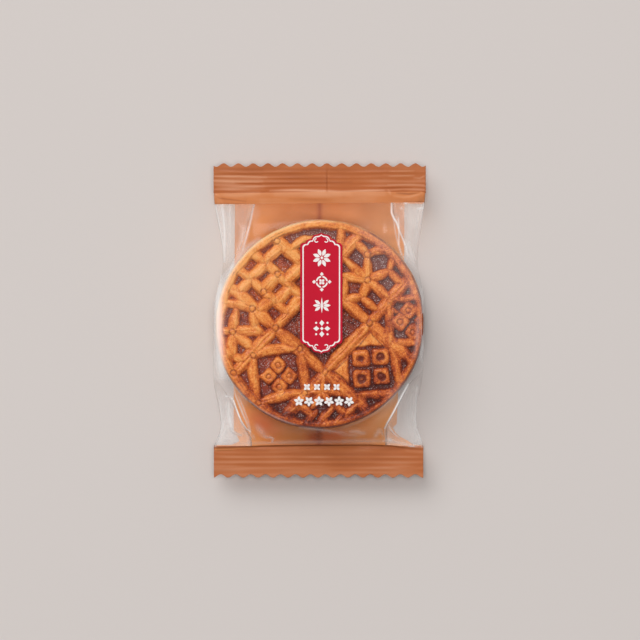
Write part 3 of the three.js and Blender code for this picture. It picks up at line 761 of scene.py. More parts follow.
def cake_ring(index, radius, level, angle):
    """One ring of the shoulder, side or base: its points and their values."""
    dented = smooth_step(np.cos(angle - DENT_TURN), 0.86, 0.97) * (index in DENTED_RINGS)
    ripple = SIDE_RIPPLE * soft_noise(angle * CAKE_RADIUS, np.full(len(angle), level), 4.0, 31)
    wide = radius * roundness(angle) + ripple * (radius > BASE_RING) - DENT_DEPTH * dented
    x, y = CAKE_X + wide * np.cos(angle), CAKE_Y + wide * np.sin(angle)
    foot = smooth_step(level, CAKE_BASE + FOOT_HEIGHT, CAKE_BASE)
    lift = SIDE_LIFT * smooth_step(index, 3, 7) * (1 - foot)
    below_rim = smooth_step(index, 1, 6)
    patches = SIDE_PATCHES * below_rim * soft_noise(x + 0.6 * level, y + 0.8 * level, 5.0, 32)
    least = (SIDE_LEAST - RIM_LEAST) * below_rim + RIM_LEAST
    deep = np.maximum(bake_and_shade_depth(x, y) - lift, least)
    return [x, y, level], {
        "relief": 1.0, "wide": 1.0, "grain": 0.0, "dust": 0.0, "browning": 0.9 * dented,
        "bake_and_shade": deep + patches + FOOT_BAKE * foot, "face": max(0.0, 0.75 - 0.3 * index),
    }


def cake(material):
    """Cake with its moulded face, side and base as one closed mesh."""
    a, b = disc_points(FACE_STEPS)
    angle, reach = np.arctan2(b, a), np.hypot(a, b) * TOP_RADIUS
    x = CAKE_X + reach * roundness(angle) * np.cos(angle)
    y = CAKE_Y + reach * roundness(angle) * np.sin(angle)
    height, scorch, grain = ornament(x, y)
    z = shoulder_height(reach) - RELIEF * (1 - height)
    z += CROWN_WAVES * (soft_noise(x, y, 2.4, 21) - 0.7) * height
    z += HOLLOW_WAVES * soft_noise(x, y, 1.4, 22) * (1 - height)
    values = {
        "relief": np.clip(height, 0, 1), "wide": cavity_shaded_relief(x, y), "browning": scorch, "grain": grain,
        "bake_and_shade": bake_and_shade_depth(x, y), "face": 1.0, "dust": dustiness(x, y),
    }
    faces = grid_faces(FACE_STEPS, FACE_STEPS)
    above = grid_edge(FACE_STEPS, FACE_STEPS)
    rim_angle, count, first = angle[above], len(above), len(x)
    layers = [(first, [x, y, z], values)]
    for index, (radius, level) in enumerate(cake_profile()):
        layers.append((count, *cake_ring(index, radius, level, rim_angle)))
        below = list(range(first, first + count))
        faces += [[a, c, d, b] for (a, b), (c, d) in zip(pairs(above), pairs(below))]
        above, first = below, first + count
    faces += [[b, a, first] for a, b in pairs(above)]
    middle = {label: float(label in ("relief", "wide")) for label in values}
    layers.append((1, [CAKE_X, CAKE_Y, CAKE_BASE], middle))

    def joined(parts):
        """One list of numbers from those of every layer, where one number may stand for all."""
        return np.concatenate([np.broadcast_to(part, n) for (n, _, _), part in zip(layers, parts)])

    points = np.stack([joined(places[k] for _, places, _ in layers) for k in range(3)], 1)
    merged = {label: joined(numbers[label] for _, _, numbers in layers) for label in values}
    return make_mesh("moulded_cake", points, faces, material, merged)


# Pouch

# Half-width of the pouch from the lower seal to the upper one
SIDES = {
    "right": [(-40.4, 33.3), (-31, 31.4), (-14, 34.2), (6, 34.2), (20, 32.2), (41, 34)],
    "left": [(-40.4, 33.1), (-34, 31.2), (-16, 34.2), (2, 34), (20, 30.9), (41, 33.2)],
}
# Distance from the middle of the inner fold of each tucked side
TUCKS = {
    "right": [
        (-40.4, 21.2), (-33.2, 21.6), (-27.8, 24.7), (-20.5, 28.4), (-15, 34.2), (14, 33.4), (18, 30.4),
        (22.4, 28.2), (29.4, 25.6), (33, 24.0), (37.3, 23.3), (41, 23.2),
    ],
    "left": [
        (-40.4, 21.0), (-37.3, 21.3), (-32.9, 23.9), (-29, 25.6), (-24, 28.6), (-17, 33.6), (12, 32.6),
        (18, 27.6), (23.7, 24.5), (29.4, 22.6), (36.7, 20.1), (41, 18.8),
    ],
}
# Distance from the middle of the edges of the printed panel on the back
PANEL = {
    "left": [
        (-40.4, 29.5), (-39.4, 27.2), (-38.4, 25.0), (-37, 25.7), (-35.4, 26.9), (-20, 27.0), (20, 26.7),
        (41, 26.5),
    ],
    "right": [
        (-40.4, 31.5), (-38.3, 28.6), (-37, 26.0), (-35.7, 24.6), (-34.1, 23.8), (-33, 25.0), (-20, 25.6),
        (0, 27.0), (20, 27.4), (41, 27.5),
    ],
}
DRAPE_RADIUS = 31.6
DRAPE_TOP = 20.02
SHOULDER = 7.6
UNDERSIDE = 4.8
BACK_LOW = 0.22
DRAPE_CURVE = 1.45
FOLD_START = 17.0
EDGE_INSET = 0.8
EDGE_LIFT = 0.12
FRONT_RIPPLES = 0.20
BACK_RIPPLES = 0.25
CREASE_RISE = 0.14
# Edge of the seam under the pouch and the crease of the upper seal, which the photograph shows
FIN_PIXEL = (319.5, 0)
SEAM_PIXEL = (326, 0)
FIN_X, SEAM_X = plan(FIN_PIXEL)[0], plan(SEAM_PIXEL)[0]
# Printed edges of the front film: where they cross the middle, and their shift across the width
UPPER_PRINT = 37.2
LOWER_PRINT = -39.6
UPPER_SHIFT = [(-34, -0.25), (-20, -0.2), (20, 0.2), (34, 0.35)]
LOWER_SHIFT = [
    (-34, -0.75), (-28, -0.6), (-18, -0.1), (-5, 0.1), (16, 0.2), (23, -0.05), (27, -0.5), (34, -0.95),
]


def eased(stops, y):
    """Value at y of a curve that eases through its stops."""
    result = np.full(np.shape(y), float(stops[0][1]))
    for (y0, a), (y1, b) in zip(stops[:-1], stops[1:]):
        result = np.where(y > y0, a + (b - a) * smooth_step(y, y0, y1), result)
    return result


def straight(stops, y):
    places, values = zip(*stops)
    return np.interp(y, places, values)


def outline_reach():
    """Distance from the cake's middle to the pouch's outline, for each whole degree."""
    steps = np.arange(DRAPE_RADIUS, 60, 0.05)
    reach = []
    for degree in range(360):
        a = math.radians(degree)
        px, py = CAKE_X + steps * math.cos(a), CAKE_Y + steps * math.sin(a)
        out = (py >= UPPER_SEAL) | (py <= LOWER_SEAL)
        out |= (px > eased(SIDES["right"], py)) | (px < -eased(SIDES["left"], py))
        reach.append(steps[np.argmax(out)])
    return np.array(reach)


REACH = outline_reach()


def outward(x, y):
    """How far a place lies from the cake's edge towards the outline of the pouch, from 0 to 1."""
    off, degrees = from_cake(x, y)
    reach = np.interp(degrees % 360, np.arange(361), np.append(REACH, REACH[0]))
    return np.clip((off - DRAPE_RADIUS) / (reach - DRAPE_RADIUS), 0, 1)


def fold_share(y):
    """1 beside the cake and 0 at the seals, where the sides lie folded flat."""
    end = np.where(y > 0, UPPER_SEAL, -LOWER_SEAL)
    return (1 - np.clip((np.abs(y) - FOLD_START) / (end - FOLD_START), 0, 1)) ** 1.3


# White creases of the clear film with painted glints, highlights and reflections: photo pixels, width in
# pixels, strength
CREASES_AND_GLINTS = [
    ([(254, 205), (252.4, 213), (251, 220), (249.2, 228), (246.6, 238), (243, 250)], 2.4, 0.36),
    ([(257, 208), (255, 222)], 8.0, 0.07), ([(244, 230), (242, 242), (237, 256)], 7.0, 0.20),
    ([(222, 205), (223, 215), (224.4, 228), (224.6, 242), (225, 262)], 2.6, 0.52),
    ([(215, 205), (218, 218), (221, 232), (223, 245), (223.5, 262)], 2.0, 0.45),
    ([(229.5, 206), (229.5, 262)], 4.0, 0.12),
    ([(391.5, 203), (391.5, 213), (393.5, 218), (396, 222), (398.2, 228)], 1.9, 0.72),
    ([(398.2, 228), (400, 233), (403, 240), (406, 248), (407.5, 257)], 1.8, 0.55),
    ([(398.2, 218), (398.6, 232), (398.6, 246), (401, 254), (405, 260)], 1.7, 0.42),
    ([(393.5, 220), (395.5, 234), (398, 246)], 1.6, 0.24), ([(404.5, 203), (407, 203)], 1.8, 0.5),
    ([(401, 207.5), (402, 209)], 3.0, 0.30), ([(417.5, 208.8), (424, 208.3)], 2.2, 0.62),
    ([(425, 205), (424, 214), (422.5, 226), (420.6, 240), (419, 248)], 1.9, 0.50),
    ([(417, 212), (416, 232), (416.2, 246), (418.5, 247)], 1.8, 0.20),
    ([(412, 206), (409, 230), (410, 258)], 3.4, 0.10), ([(407, 242), (411, 252), (414, 264)], 5.0, 0.28),
    ([(226, 396), (231, 397), (234, 401), (236, 407), (239, 415), (242, 422),
     (246, 428), (250, 431.5)], 1.5, 1.0),
    ([(234, 388), (236, 396), (240, 406), (244, 416), (247.5, 424), (250, 431), (251.5, 439)], 2.2, 0.42),
    ([(238, 394), (243, 406), (248, 419), (251, 431)], 1.4, 0.30),
    ([(228.5, 402), (229, 415), (230.5, 424), (233, 431)], 3.6, 0.60),
    ([(231, 430), (236, 433.5), (241.5, 435.5)], 2.6, 0.62),
    ([(219, 392), (221, 410), (222.5, 425), (220.5, 437), (219, 444)], 3.0, 0.34),
    ([(225.5, 398), (225.5, 424), (224, 440)], 5.0, 0.16), ([(223, 442), (229, 441)], 2.2, 0.34),
    ([(257, 426), (261, 431.5), (265, 436)], 5.6, 0.26), ([(264, 436.5), (271, 438)], 3.4, 0.26),
    ([(270, 436.5), (273, 438.5), (272.5, 442)], 1.4, 0.42), ([(262, 438.5), (270, 441.5)], 1.4, -0.30),
    ([(253, 434.5), (254.5, 439.5)], 2.4, 0.24), ([(240, 433), (250, 433.5)], 1.8, 0.16),
    ([(260, 408.5), (268, 413), (278, 418), (288, 422), (297, 424.5)], 1.5, 0.20),
    ([(221, 362), (226, 374), (234, 385.5), (246, 398), (260, 408.5)], 1.5, 0.20),
    ([(408, 384), (403, 393), (399, 400.5), (395, 408.5), (391, 416), (387, 423), (384.8, 428)], 1.7, 0.92),
    ([(384.8, 427), (385, 434), (386, 441)], 1.4, 0.36),
    ([(389, 426), (391, 430), (394.5, 434), (399, 437.5)], 1.8, 0.48),
    ([(379.5, 429.5), (377, 434), (375, 437)], 4.4, 0.24), ([(381, 430), (383.5, 437)], 2.6, 0.20),
    ([(350, 431.5), (358, 431.5), (364, 433)], 3.6, 0.22),
    ([(340, 434.5), (356, 435.5), (362, 434)], 3.4, 0.12), ([(344, 441.2), (384, 441.2)], 4.6, 0.26),
    ([(236, 444), (262, 443), (300, 442.2), (344, 441.6)], 3.6, 0.24),
    ([(384, 441), (398, 442.5), (410, 445.5), (417, 446.5)], 3.6, 0.34),
    ([(388.5, 439.5), (392, 440.5)], 3.6, 0.66), ([(409.5, 447), (414, 447.4)], 2.2, 0.60),
    ([(416.8, 386), (415.6, 402), (415.2, 418), (415.6, 428), (418, 434), (421.5, 441)], 2.2, 0.52),
    ([(412.5, 392), (412.5, 415), (413, 428), (416, 438)], 3.0, 0.24),
    ([(409, 396), (409.5, 440)], 4.0, 0.12),
    ([(259, 240), (250, 246), (242, 254), (235, 264), (228, 277), (223, 292)], 6.0, 0.32),
    ([(219.5, 276), (218.5, 300), (218.5, 330), (220, 360), (222, 376)], 8.5, 0.66),
    ([(418, 318), (417, 340), (414, 356)], 4.4, 0.14), ([(398, 388), (388, 403)], 10.0, 0.06),
    ([(239, 386), (242, 394), (245, 402)], 9.0, 0.04),
    ([(355, 228), (376, 240), (395, 256), (408, 275), (414, 300)], 7.5, 0.05),
    ([(422, 288), (423.5, 310), (423, 340), (421, 360)], 4.2, 0.42),
    ([(300, 427), (318, 429), (330, 431), (345, 432.5)], 2.6, 0.18),
    ([(404, 381), (392, 398), (376, 412), (358, 422), (340, 428)], 2.6, 0.09),
]
# Painted highlights (above nought) and painted shade of creases and crimps (below it) on the print, in the
# same way
PRINT_LINES = [
    ([(276, 194.2), (300, 193.6), (340, 194), (370, 193.5), (384, 193)], 6.0, 0.34),
    ([(270, 190.6), (296, 189.8), (340, 191.3), (384, 190)], 2.0, 0.40),
    ([(214, 180.5), (240, 181.5), (262, 181)], 3.2, 0.34),
    ([(214, 176), (240, 176), (266, 177)], 2.0, 0.34), ([(218, 187.5), (240, 188), (262, 187)], 6.0, 0.26),
    ([(216, 195), (236, 195.5), (258, 193)], 4.6, 0.28),
    ([(392, 189.5), (404, 188.3), (424, 189.5)], 3.0, 0.30), ([(388.5, 189.5), (390.5, 194)], 2.6, 0.34),
    ([(394, 196), (404, 197.3), (412, 196.2), (421, 193)], 2.6, 0.34),
    ([(414, 177.5), (420, 178), (426, 175)], 1.8, 0.26), ([(389, 171), (414, 170.6)], 1.3, 0.30),
    ([(389, 175.8), (414, 175.4)], 1.5, 0.30), ([(388, 184.6), (424, 184.6)], 1.6, 0.30),
    ([(258, 201), (266, 204)], 9.0, 0.14), ([(330, 200), (372, 202)], 7.0, 0.12),
    ([(216, 198), (219, 203)], 3.4, 0.20),
    ([(214, 194.5), (219, 198), (230, 199.4), (246, 201.4)], 1.5, -0.36),
    ([(216, 203.2), (252, 204)], 1.4, -0.34), ([(397, 192.8), (409, 193.9), (420, 192.6)], 2.0, -0.46),
    ([(404, 201.4), (424, 201.4)], 1.3, -0.26), ([(235, 182.8), (254, 183.2), (262, 184)], 1.5, -0.30),
    ([(260, 182.8), (300, 183.2), (352, 182)], 2.2, -0.24), ([(380, 187.6), (412, 187.6)], 1.4, -0.30),
    ([(214, 169), (262, 169.5)], 3.0, -0.22), ([(214, 173.8), (262, 174.2)], 1.5, -0.30),
    ([(290, 199), (330, 200.5)], 4.0, -0.14),
    ([(214, 448), (245, 446.6), (300, 445.4), (372, 445), (392, 446), (410, 449), (424, 449.6)], 2.0, -0.80),
    ([(372, 447), (404, 449.4)], 4.2, -0.32), ([(300, 447.5), (372, 447.5)], 3.0, -0.18),
    ([(236, 450), (268, 450.5)], 2.4, -0.16), ([(213, 454.6), (300, 454.4), (424, 454.8)], 2.8, -0.15),
    ([(213, 459.4), (300, 459.6), (424, 460)], 2.8, -0.17),
    ([(213, 465), (300, 464.9), (424, 465.2)], 2.8, -0.15), ([(213, 457), (424, 457.4)], 2.4, 0.08),
    ([(213, 462.4), (424, 462.8)], 2.4, 0.08), ([(262, 169.2), (320, 169.4), (382, 169)], 3.0, -0.18),
    ([(262, 174), (320, 173.8), (382, 174)], 2.2, -0.15),
    ([(262, 178.4), (320, 178.2), (382, 178)], 2.2, -0.15), ([(326.6, 170.5), (327.2, 192)], 1.4, -0.36),
    ([(328.4, 172), (328.6, 190)], 1.4, 0.16),
]
# Painted highlights and painted shade on the panel on the back, mostly round the cake, in the same way
BACK_LINES = [
    ([(380, 420), (388, 405), (394, 396), (398, 388)], 14.0, 0.62),
    ([(360, 436), (368, 432), (376, 420)], 10.0, 0.20), ([(239, 384), (242, 394), (244, 402)], 9.0, 0.75),
    ([(246, 412), (256, 422), (268, 430)], 8.0, -0.12), ([(258, 206), (272, 207), (292, 206)], 10.0, 0.12),
    ([(242, 202), (243, 224)], 15.0, -0.18), ([(311, 438), (320, 438)], 9.0, -0.20),
]
# Redder stretches of the same panel: along the seam, and painted shade beside the cake
BACK_BLUSH_AND_SHADE = [
    ([(239, 384), (242, 394), (244, 402)], 9.0, 0.40), ([(250, 414), (262, 424), (272, 430)], 20.0, 0.66),
    ([(309, 438), (321, 438)], 11.0, 0.80), ([(322, 437), (344, 436)], 14.0, 0.60),
]


def near_line(x, y, line):
    """Distance in millimetres from places to a line of photo pixels, and the share run along it."""
    spots = [plan(pixel) for pixel in line]
    lengths = [math.dist(a, b) for a, b in zip(spots[:-1], spots[1:])]
    best = np.full(np.shape(x), 1e9)
    share = np.zeros(np.shape(x))
    done = 0.0
    for a, b, length in zip(spots[:-1], spots[1:], lengths):
        t = np.clip(((x - a[0]) * (b[0] - a[0]) + (y - a[1]) * (b[1] - a[1])) / length ** 2, 0, 1)
        off = np.hypot(x - a[0] - t * (b[0] - a[0]), y - a[1] - t * (b[1] - a[1]))
        nearer = off < best
        best = np.where(nearer, off, best)
        share = np.where(nearer, (done + t * length) / sum(lengths), share)
        done += length
    return best, share


def line_field(x, y, lines):
    """Sum of soft lines, each thinner in strength towards its ends."""
    total = np.zeros(np.shape(x))
    for line, width, strength in lines:
        off, share = near_line(x, y, line)
        taper = 0.35 + 0.65 * np.sin(np.pi * np.clip(share, 0.02, 0.98)) ** 0.5
        total += strength * taper * bell(off, 0.5 * width * PIXEL)
    return total


FINE_STREAKS = 0.09
BROAD_STREAKS = 0.08
LOWEST_GLEAM = 0.10


def print_tone(x, y):
    """Painted highlight and painted shade of the print at places in the plane, with its uneven streaks."""
    total = line_field(x, y, PRINT_LINES)
    streaks = FINE_STREAKS * soft_noise(x * 0.10, y, 0.7, 81)
    streaks += BROAD_STREAKS * soft_noise(x * 0.3, y, 2.6, 82)
    # Painted light: the lower seal lighter towards its outer edge
    streaks += LOWEST_GLEAM * smooth_step(-y, 45.5, 47.5)
    return np.clip(total + streaks, 0, 0.8), np.clip(-total - streaks, 0, 0.9)


# Whiteness of the film, from 0 to 1: everywhere, over the cake's outer parts, where it slopes down, in
# streaks of painted sheen beside the cake, as painted reflection along its edges, on the tucked sides with
# painted light along their inner folds, and on the back
CLEAR_VEIL = 0.002
HAZE_VEIL = 0.036
SLOPE_VEIL = 0.024
STREAK_PAINTED_SHEEN = 0.16
EDGE_PAINTED_REFLECTION = 0.34
SIDE_VEIL = 0.12
FOLD_PAINTED_LIGHT = 0.25
BACK_VEIL = 0.03


def haze(x, y):
    """Milkiness over the cake's outer parts, most at the right and less at the upper left."""
    amount = smooth_step(from_cake(x, y)[0], 17, 30) * smooth_step(y - 0.5 * np.abs(x), -26, -8)
    amount *= 1 + 0.9 * smooth_step(x, 10, 28) * smooth_step(y, -22, -8)
    amount *= 1 - 0.55 * smooth_step(0.8 * y - 0.6 * x, 14, 27)
    return HAZE_VEIL * amount * (0.8 + 0.5 * soft_noise(x, y, 5.0, 44))


def front_sheet(across, y, height_y):
    """Upper film from its left edge to its right one: places, heights, whiteness with painted glints, and
    painted gleam and shade.
    """
    fold = fold_share(height_y)
    left, right = -eased(SIDES["left"], height_y), eased(SIDES["right"], height_y)
    inset = EDGE_INSET * fold
    x = left + inset + across * (right - left - 2 * inset)
    edge = SEAL_HEIGHT + EDGE_LIFT + fold * SHOULDER
    out = outward(x, height_y)
    close = 1 - fold
    z = edge + (DRAPE_TOP - edge) * (1 - out ** (DRAPE_CURVE + fold)) ** (1 + 0.3 * close)
    slope = smooth_step(out, 0.02, 0.3) * (1 - smooth_step(out, 0.9, 1.0))
    lines = line_field(x, y, CREASES_AND_GLINTS)
    ripples = FRONT_RIPPLES * slope * soft_noise(x * 1.2, y * 0.45, 2.2, 41)
    z += ripples + CREASE_RISE * np.clip(lines, -0.5, 0.8) * slope
    streaks = np.clip(soft_noise(x, y * 0.12, 0.8, 42), 0, 1) ** 2
    beside = smooth_step(np.abs(x - CAKE_X), 22, 28)
    # Whiteness: haze, slope, creases with painted glints, and painted sheen in streaks beside the cake
    veil = CLEAR_VEIL + haze(x, y) + SLOPE_VEIL * slope + lines + STREAK_PAINTED_SHEEN * streaks * beside * close
    # Painted reflection along both side edges of the film
    veil += EDGE_PAINTED_REFLECTION * (bell(x - left, 0.5) + bell(x - right, 0.5))
    gleam, shade = print_tone(x, y)
    return x, z, {"veil": np.clip(veil, 0, 0.92), "gleam": gleam, "shade": shade}


# Steps of the film's mesh: across the front, down each half of a side, across the back and along
FRONT_ENDS = [0, 0.2, 0.8, 1]
FRONT_STEPS = [80, 72, 80]
FRONT_COLUMNS = sum(FRONT_STEPS)
SIDE_COLUMNS = 7
BACK_COLUMNS = 60
BACK_BREAKS = (0.15, 0.85)
FILM_ENDS = [LOWER_SEAL - 0.3, LOWER_PRINT, -25.5, 24, UPPER_PRINT, UPPER_SEAL + 0.3]
FILM_STEPS = [5, 85, 65, 75, 25]
TUCK_LEAST = 0.05
CLEAR_SLOT, FRONT_SLOT, BACK_SLOT = 0, 1, 2


# The folded seam seen through the panel: its half-width, and how much darker and redder it is
FIN_WIDTH = 0.95
FIN_SHADE = 0.26
FIN_BLUSH = 0.45


def back_tone(x, y):
    """Redness and dark shade of the panel: darker and redder along the seam under it, with painted shade and
    highlights round the cake.
    """
    fin = bell(x - FIN_X, FIN_WIDTH, 4)
    deeper = 1 + 0.35 * smooth_step(y, 20, 30) + 0.4 * smooth_step(-y, 20, 30)
    shade = FIN_SHADE * fin * deeper
    shade += 0.22 * smooth_step(y, -39.5, -36) * (1 - smooth_step(y, -36, -33)) * bell(x + 1.2, 2.3, 4)
    # Uneven print tone, and painted shadow of the cake over the lower end
    shade += 0.10 * soft_noise(x, y, 6.0, 52) + 0.06 * smooth_step(-y, 25, 38)
    shade += 0.09 * soft_noise(x * 0.5, y, 2.4, 53) * smooth_step(y, 20, 28)
    # Darker across the upper panel, most towards the cake
    shade += smooth_step(y, 18, 24) * (0.11 + 0.15 * (1 - smooth_step(y, 28, 36)))
    shade -= line_field(x, y, BACK_LINES)
    blush = line_field(x, y, BACK_BLUSH_AND_SHADE) + 0.26 * smooth_step(-y, 18, 28) * smooth_step(-np.abs(x), -23, -14)
    return np.clip(blush + FIN_BLUSH * fin, 0, 0.95), shade


def back_sheet(across, y):
    """Lower film from its left edge to its right one, with the printed panel between the two breaks."""
    fold = fold_share(y)
    inset = EDGE_INSET * fold
    stops = np.stack([
        -eased(SIDES["left"], y) + inset, -straight(PANEL["left"], y), straight(PANEL["right"], y),
        eased(SIDES["right"], y) - inset,
    ])
    share = np.interp(across, [0, *BACK_BREAKS, 1], [0, 1, 2, 3])
    index, columns = np.minimum(share.astype(int), 2), np.arange(len(across))
    x = stops[index, columns] + (share - index) * (stops[index + 1, columns] - stops[index, columns])
    edge = SEAL_HEIGHT - EDGE_LIFT - fold * UNDERSIDE
    out = outward(x, y)
    z = edge + (BACK_LOW - edge) * (1 - out ** (DRAPE_CURVE + fold))
    slope = smooth_step(out, 0.05, 0.4) * (1 - smooth_step(out, 0.9, 1.0))
    z += BACK_RIPPLES * slope * soft_noise(x * 0.8, y * 0.6, 2.6, 51)
    blush, shade = back_tone(x, y)
    return x, z, {
        "veil": BACK_VEIL, "blush": blush, "gleam": np.clip(-shade, 0, 1), "shade": np.clip(shade, 0, 1),
    }


def stretches(ends, steps):
    """Places from the first end to the last, where each stretch has its own number of even steps."""
    parts = [np.linspace(a, b, n + 1)[1:] for a, b, n in zip(ends[:-1], ends[1:], steps)]
    return np.concatenate([ends[:1], *parts])


def front_places(across, station):
    """The front film's places along the pouch, shifted near the ends to follow the printed edges."""
    rough_x = (across - 0.5) * 66
    upper = straight(UPPER_SHIFT, rough_x) * smooth_step(station, 33.0, UPPER_PRINT)
    lower = straight(LOWER_SHIFT, rough_x) * (1 - smooth_step(station, LOWER_PRINT, -37.0))
    return station + upper + lower


def side_fold(top, tuck, bottom):
    """Points from the upper edge in to the inner fold of a tucked side and out to the lower edge."""
    top, tuck, bottom = (np.array(place) for place in (top, tuck, bottom))
    shares = np.linspace(0, 1, SIDE_COLUMNS + 1)[1:, None]
    return np.concatenate([top + (tuck - top) * shares, tuck + (bottom - tuck) * shares[:-1]])


def film_ring(station):
    """Section of the film at a place along the pouch: its points and their values."""
    flat = float(np.clip(station, LOWER_SEAL, UPPER_SEAL))
    fold = float(fold_share(flat))
    across = stretches(FRONT_ENDS, FRONT_STEPS)
    y = front_places(across, station)
    x, z, front = front_sheet(across, y, np.full(len(across), flat))
    bx, bz, back = back_sheet(np.linspace(1, 0, BACK_COLUMNS + 1), np.full(BACK_COLUMNS + 1, flat))
    right = min(straight(TUCKS["right"], flat), x[-1] - TUCK_LEAST)
    left = max(-straight(TUCKS["left"], flat), x[0] + TUCK_LEAST)
    middle = SEAL_HEIGHT + fold
    right_side = side_fold((x[-1], z[-1]), (right, middle), (bx[0], bz[0]))
    left_side = side_fold((x[0], z[0]), (left, middle), (bx[-1], bz[-1]))[::-1]
    section = np.concatenate([np.stack([x, z], 1), right_side, np.stack([bx, bz], 1), left_side])
    ring = np.insert(section, 1, station, axis=1)
    ring[:len(x), 1] = y
    side_veil = np.full(len(right_side), SIDE_VEIL * (0.3 + 0.7 * (1 - fold)))
    # Painted light along the inner fold of each tucked side
    side_veil[SIDE_COLUMNS - 1] += FOLD_PAINTED_LIGHT * (1 - fold)
    sides = [(len(side_veil), {"veil": veil}) for veil in (side_veil, side_veil[::-1])]
    parts = [(len(x), front), sides[0], (len(bx), back), sides[1]]
    return ring, {
        label: np.concatenate([np.broadcast_to(part.get(label, 0.0), n) for n, part in parts])
        for label in ("veil", "gleam", "shade", "blush")
    }


def film_slot(column, in_print):
    """Material of the film's faces in a column: print across both ends and on the back's panel."""
    if column < FRONT_COLUMNS:
        return FRONT_SLOT if in_print else CLEAR_SLOT
    step = column - FRONT_COLUMNS - 2 * SIDE_COLUMNS
    low, high = (round(share * BACK_COLUMNS) for share in BACK_BREAKS)
    printed = low <= step < high or (in_print and 0 <= step < BACK_COLUMNS)
    return BACK_SLOT if printed else CLEAR_SLOT


def film(clear, front_print, back_print):
    """One closed envelope of film: front, tucked sides and back, shut inside the two seals."""
    stations = stretches(FILM_ENDS, FILM_STEPS)
    rings, values = zip(*(film_ring(station) for station in stations))
    count = len(rings[0])
    faces, slots = [], []
    for i, (start, end) in enumerate(zip(stations[:-1], stations[1:])):
        in_print = start >= UPPER_PRINT - 1e-6 or end <= LOWER_PRINT + 1e-6
        lower = list(range(i * count, (i + 1) * count))
        upper = [index + count for index in lower]
        faces += [[a, b, d, c] for (a, b), (c, d) in zip(pairs(lower), pairs(upper))]
        slots += [film_slot(column, in_print) for column in range(count)]
    last = (len(stations) - 1) * count
    faces += [list(range(count - 1, -1, -1)), list(range(last, last + count))]
    slots += [FRONT_SLOT, FRONT_SLOT]
    merged = {label: np.concatenate([part[label] for part in values]) for label in values[0]}
    thing = make_mesh("film_wrap", np.concatenate(rings), faces, clear, merged)
    thing.data.materials.append(front_print)
    thing.data.materials.append(back_print)
    thing.data.polygons.foreach_set("material_index", slots)
    return thing


CRIMP_SHIFT = 0.38
CRIMP_WIDTH = 0.40
BAND_LIFT = 0.10


def band_height(x, y, band):
    """Height of a crimped seal over its middle plane."""
    sign = band["sign"]
    drift = 0.22 * soft_noise(x, y * 0, 11.0, 61 + sign)
    crimps = np.zeros(np.shape(x))
    for index, row in enumerate(band["rows"]):
        strength = 0.6 + 0.6 * soft_noise(x, x * 0 + 7 * index, 9.0, 66 + sign)
        crimps += strength * bell(y - row + CRIMP_SHIFT - drift, CRIMP_WIDTH)
    broad = 0.30 * soft_noise(x, y * 0.5, 8.0, 63 + sign) + 0.05 * soft_noise(x * 0.3, y, 1.8, 65 + sign)
    seam = 0.14 * bell(x - SEAM_X, 0.35) * (sign > 0)
    return band["crimp"] * crimps + broad + seam


def strip_between(name, x, y, low, high, material, values):
    """Closed thin strip from a grid of places and its lower and upper heights."""
    rows, columns = x.shape[0] - 1, x.shape[1] - 1
    upper, lower = (np.stack([x, y, z], -1).reshape(-1, 3) for z in (high, low))
    count = len(upper)
    faces = grid_faces(columns, rows)
    under = [[count + i for i in reversed(face)] for face in faces]
    rim = [[b, a, count + a, count + b] for a, b in pairs(grid_edge(columns, rows))]
    faces += under + rim
    if y[-1, 0] < y[0, 0]:
        faces = [face[::-1] for face in faces]
    doubled = {label: np.tile(part.ravel(), 2) for label, part in values.items()}
    return make_mesh(name, np.concatenate([upper, lower]), faces, material, doubled)


def seal_band(name, band, printed):
    """Crimped seal with a saw-tooth outer edge, as a thin closed strip."""
    sign, left, right, tip, pitch = (band[key] for key in ("sign", "left", "right", "tip", "pitch"))
    step = pitch / TOOTH_STEPS
    first, final = math.ceil((left - tip) / step + 0.01), math.floor((right - tip) / step - 0.01)
    x_line = np.concatenate([[left], tip + step * np.arange(first, final + 1), [right]])
    drop = 0.5 - 0.5 * np.cos(2 * np.pi * ((x_line - tip) / pitch))
    outer = sign * (PACK_LENGTH / 2 - TOOTH_DEPTH * drop)
    inner = sign * (PACK_LENGTH / 2 - band["depth"] - BAND_LAP)
    share = np.linspace(0, 1, BAND_ROWS)[:, None]
    y = inner + share * (outer[None, :] - inner)
    x = np.broadcast_to(x_line, y.shape)
    z = SEAL_HEIGHT + BAND_LIFT + band_height(x, y, band) * smooth_step(share, 0.0, 0.12)
    gleam, shade = print_tone(x, y)
    tones = {"gleam": gleam, "shade": shade}
    return strip_between(name, x, y, z - BAND_FILM / 2, z + BAND_FILM / 2, printed, tones)


def fin_seal(printed):
    """Flat lengthwise seam folded to one side under the back of the pouch."""
    half_length, width, thickness, lowest, ridge = 31.0, 11.0, 0.12, 0.01, 1.4
    x, y = np.meshgrid(
        np.linspace(FIN_X - 0.5, FIN_X + width, 41),
        np.linspace(CAKE_Y - half_length, CAKE_Y + half_length, 121),
    )
    lift = 0.02 + 0.03 * (1 + np.cos(2 * np.pi * (x - FIN_X) / ridge)) / 2
    plain = {"gleam": x * 0, "shade": x * 0}
    return strip_between("back_fin", x, y, x * 0 + lowest, thickness + lift, printed, plain)


# Label

LABEL_PIXEL = (321.3, 293.5)
LABEL_LEVEL = 20.05
LABEL_THICK = 0.05
# Quarter of the white line from the straight side to the tip, and how far each piece bulges outwards
LABEL_QUARTER = [
    (5.97, 14.76), (4.51, 15.62), (4.32, 15.94), (2.92, 16.70), (2.73, 16.99), (1.33, 18.16), (0, 18.73),
]
LABEL_BULGES = [0.20, 0.0, 0.20, 0.0, 0.18, -0.10]
LINE_INNER = (0.933, 0.979)
FIELD_OUTER = (1.117, 1.0255)
ARC_STEPS = 7
BAR_STEPS = 14
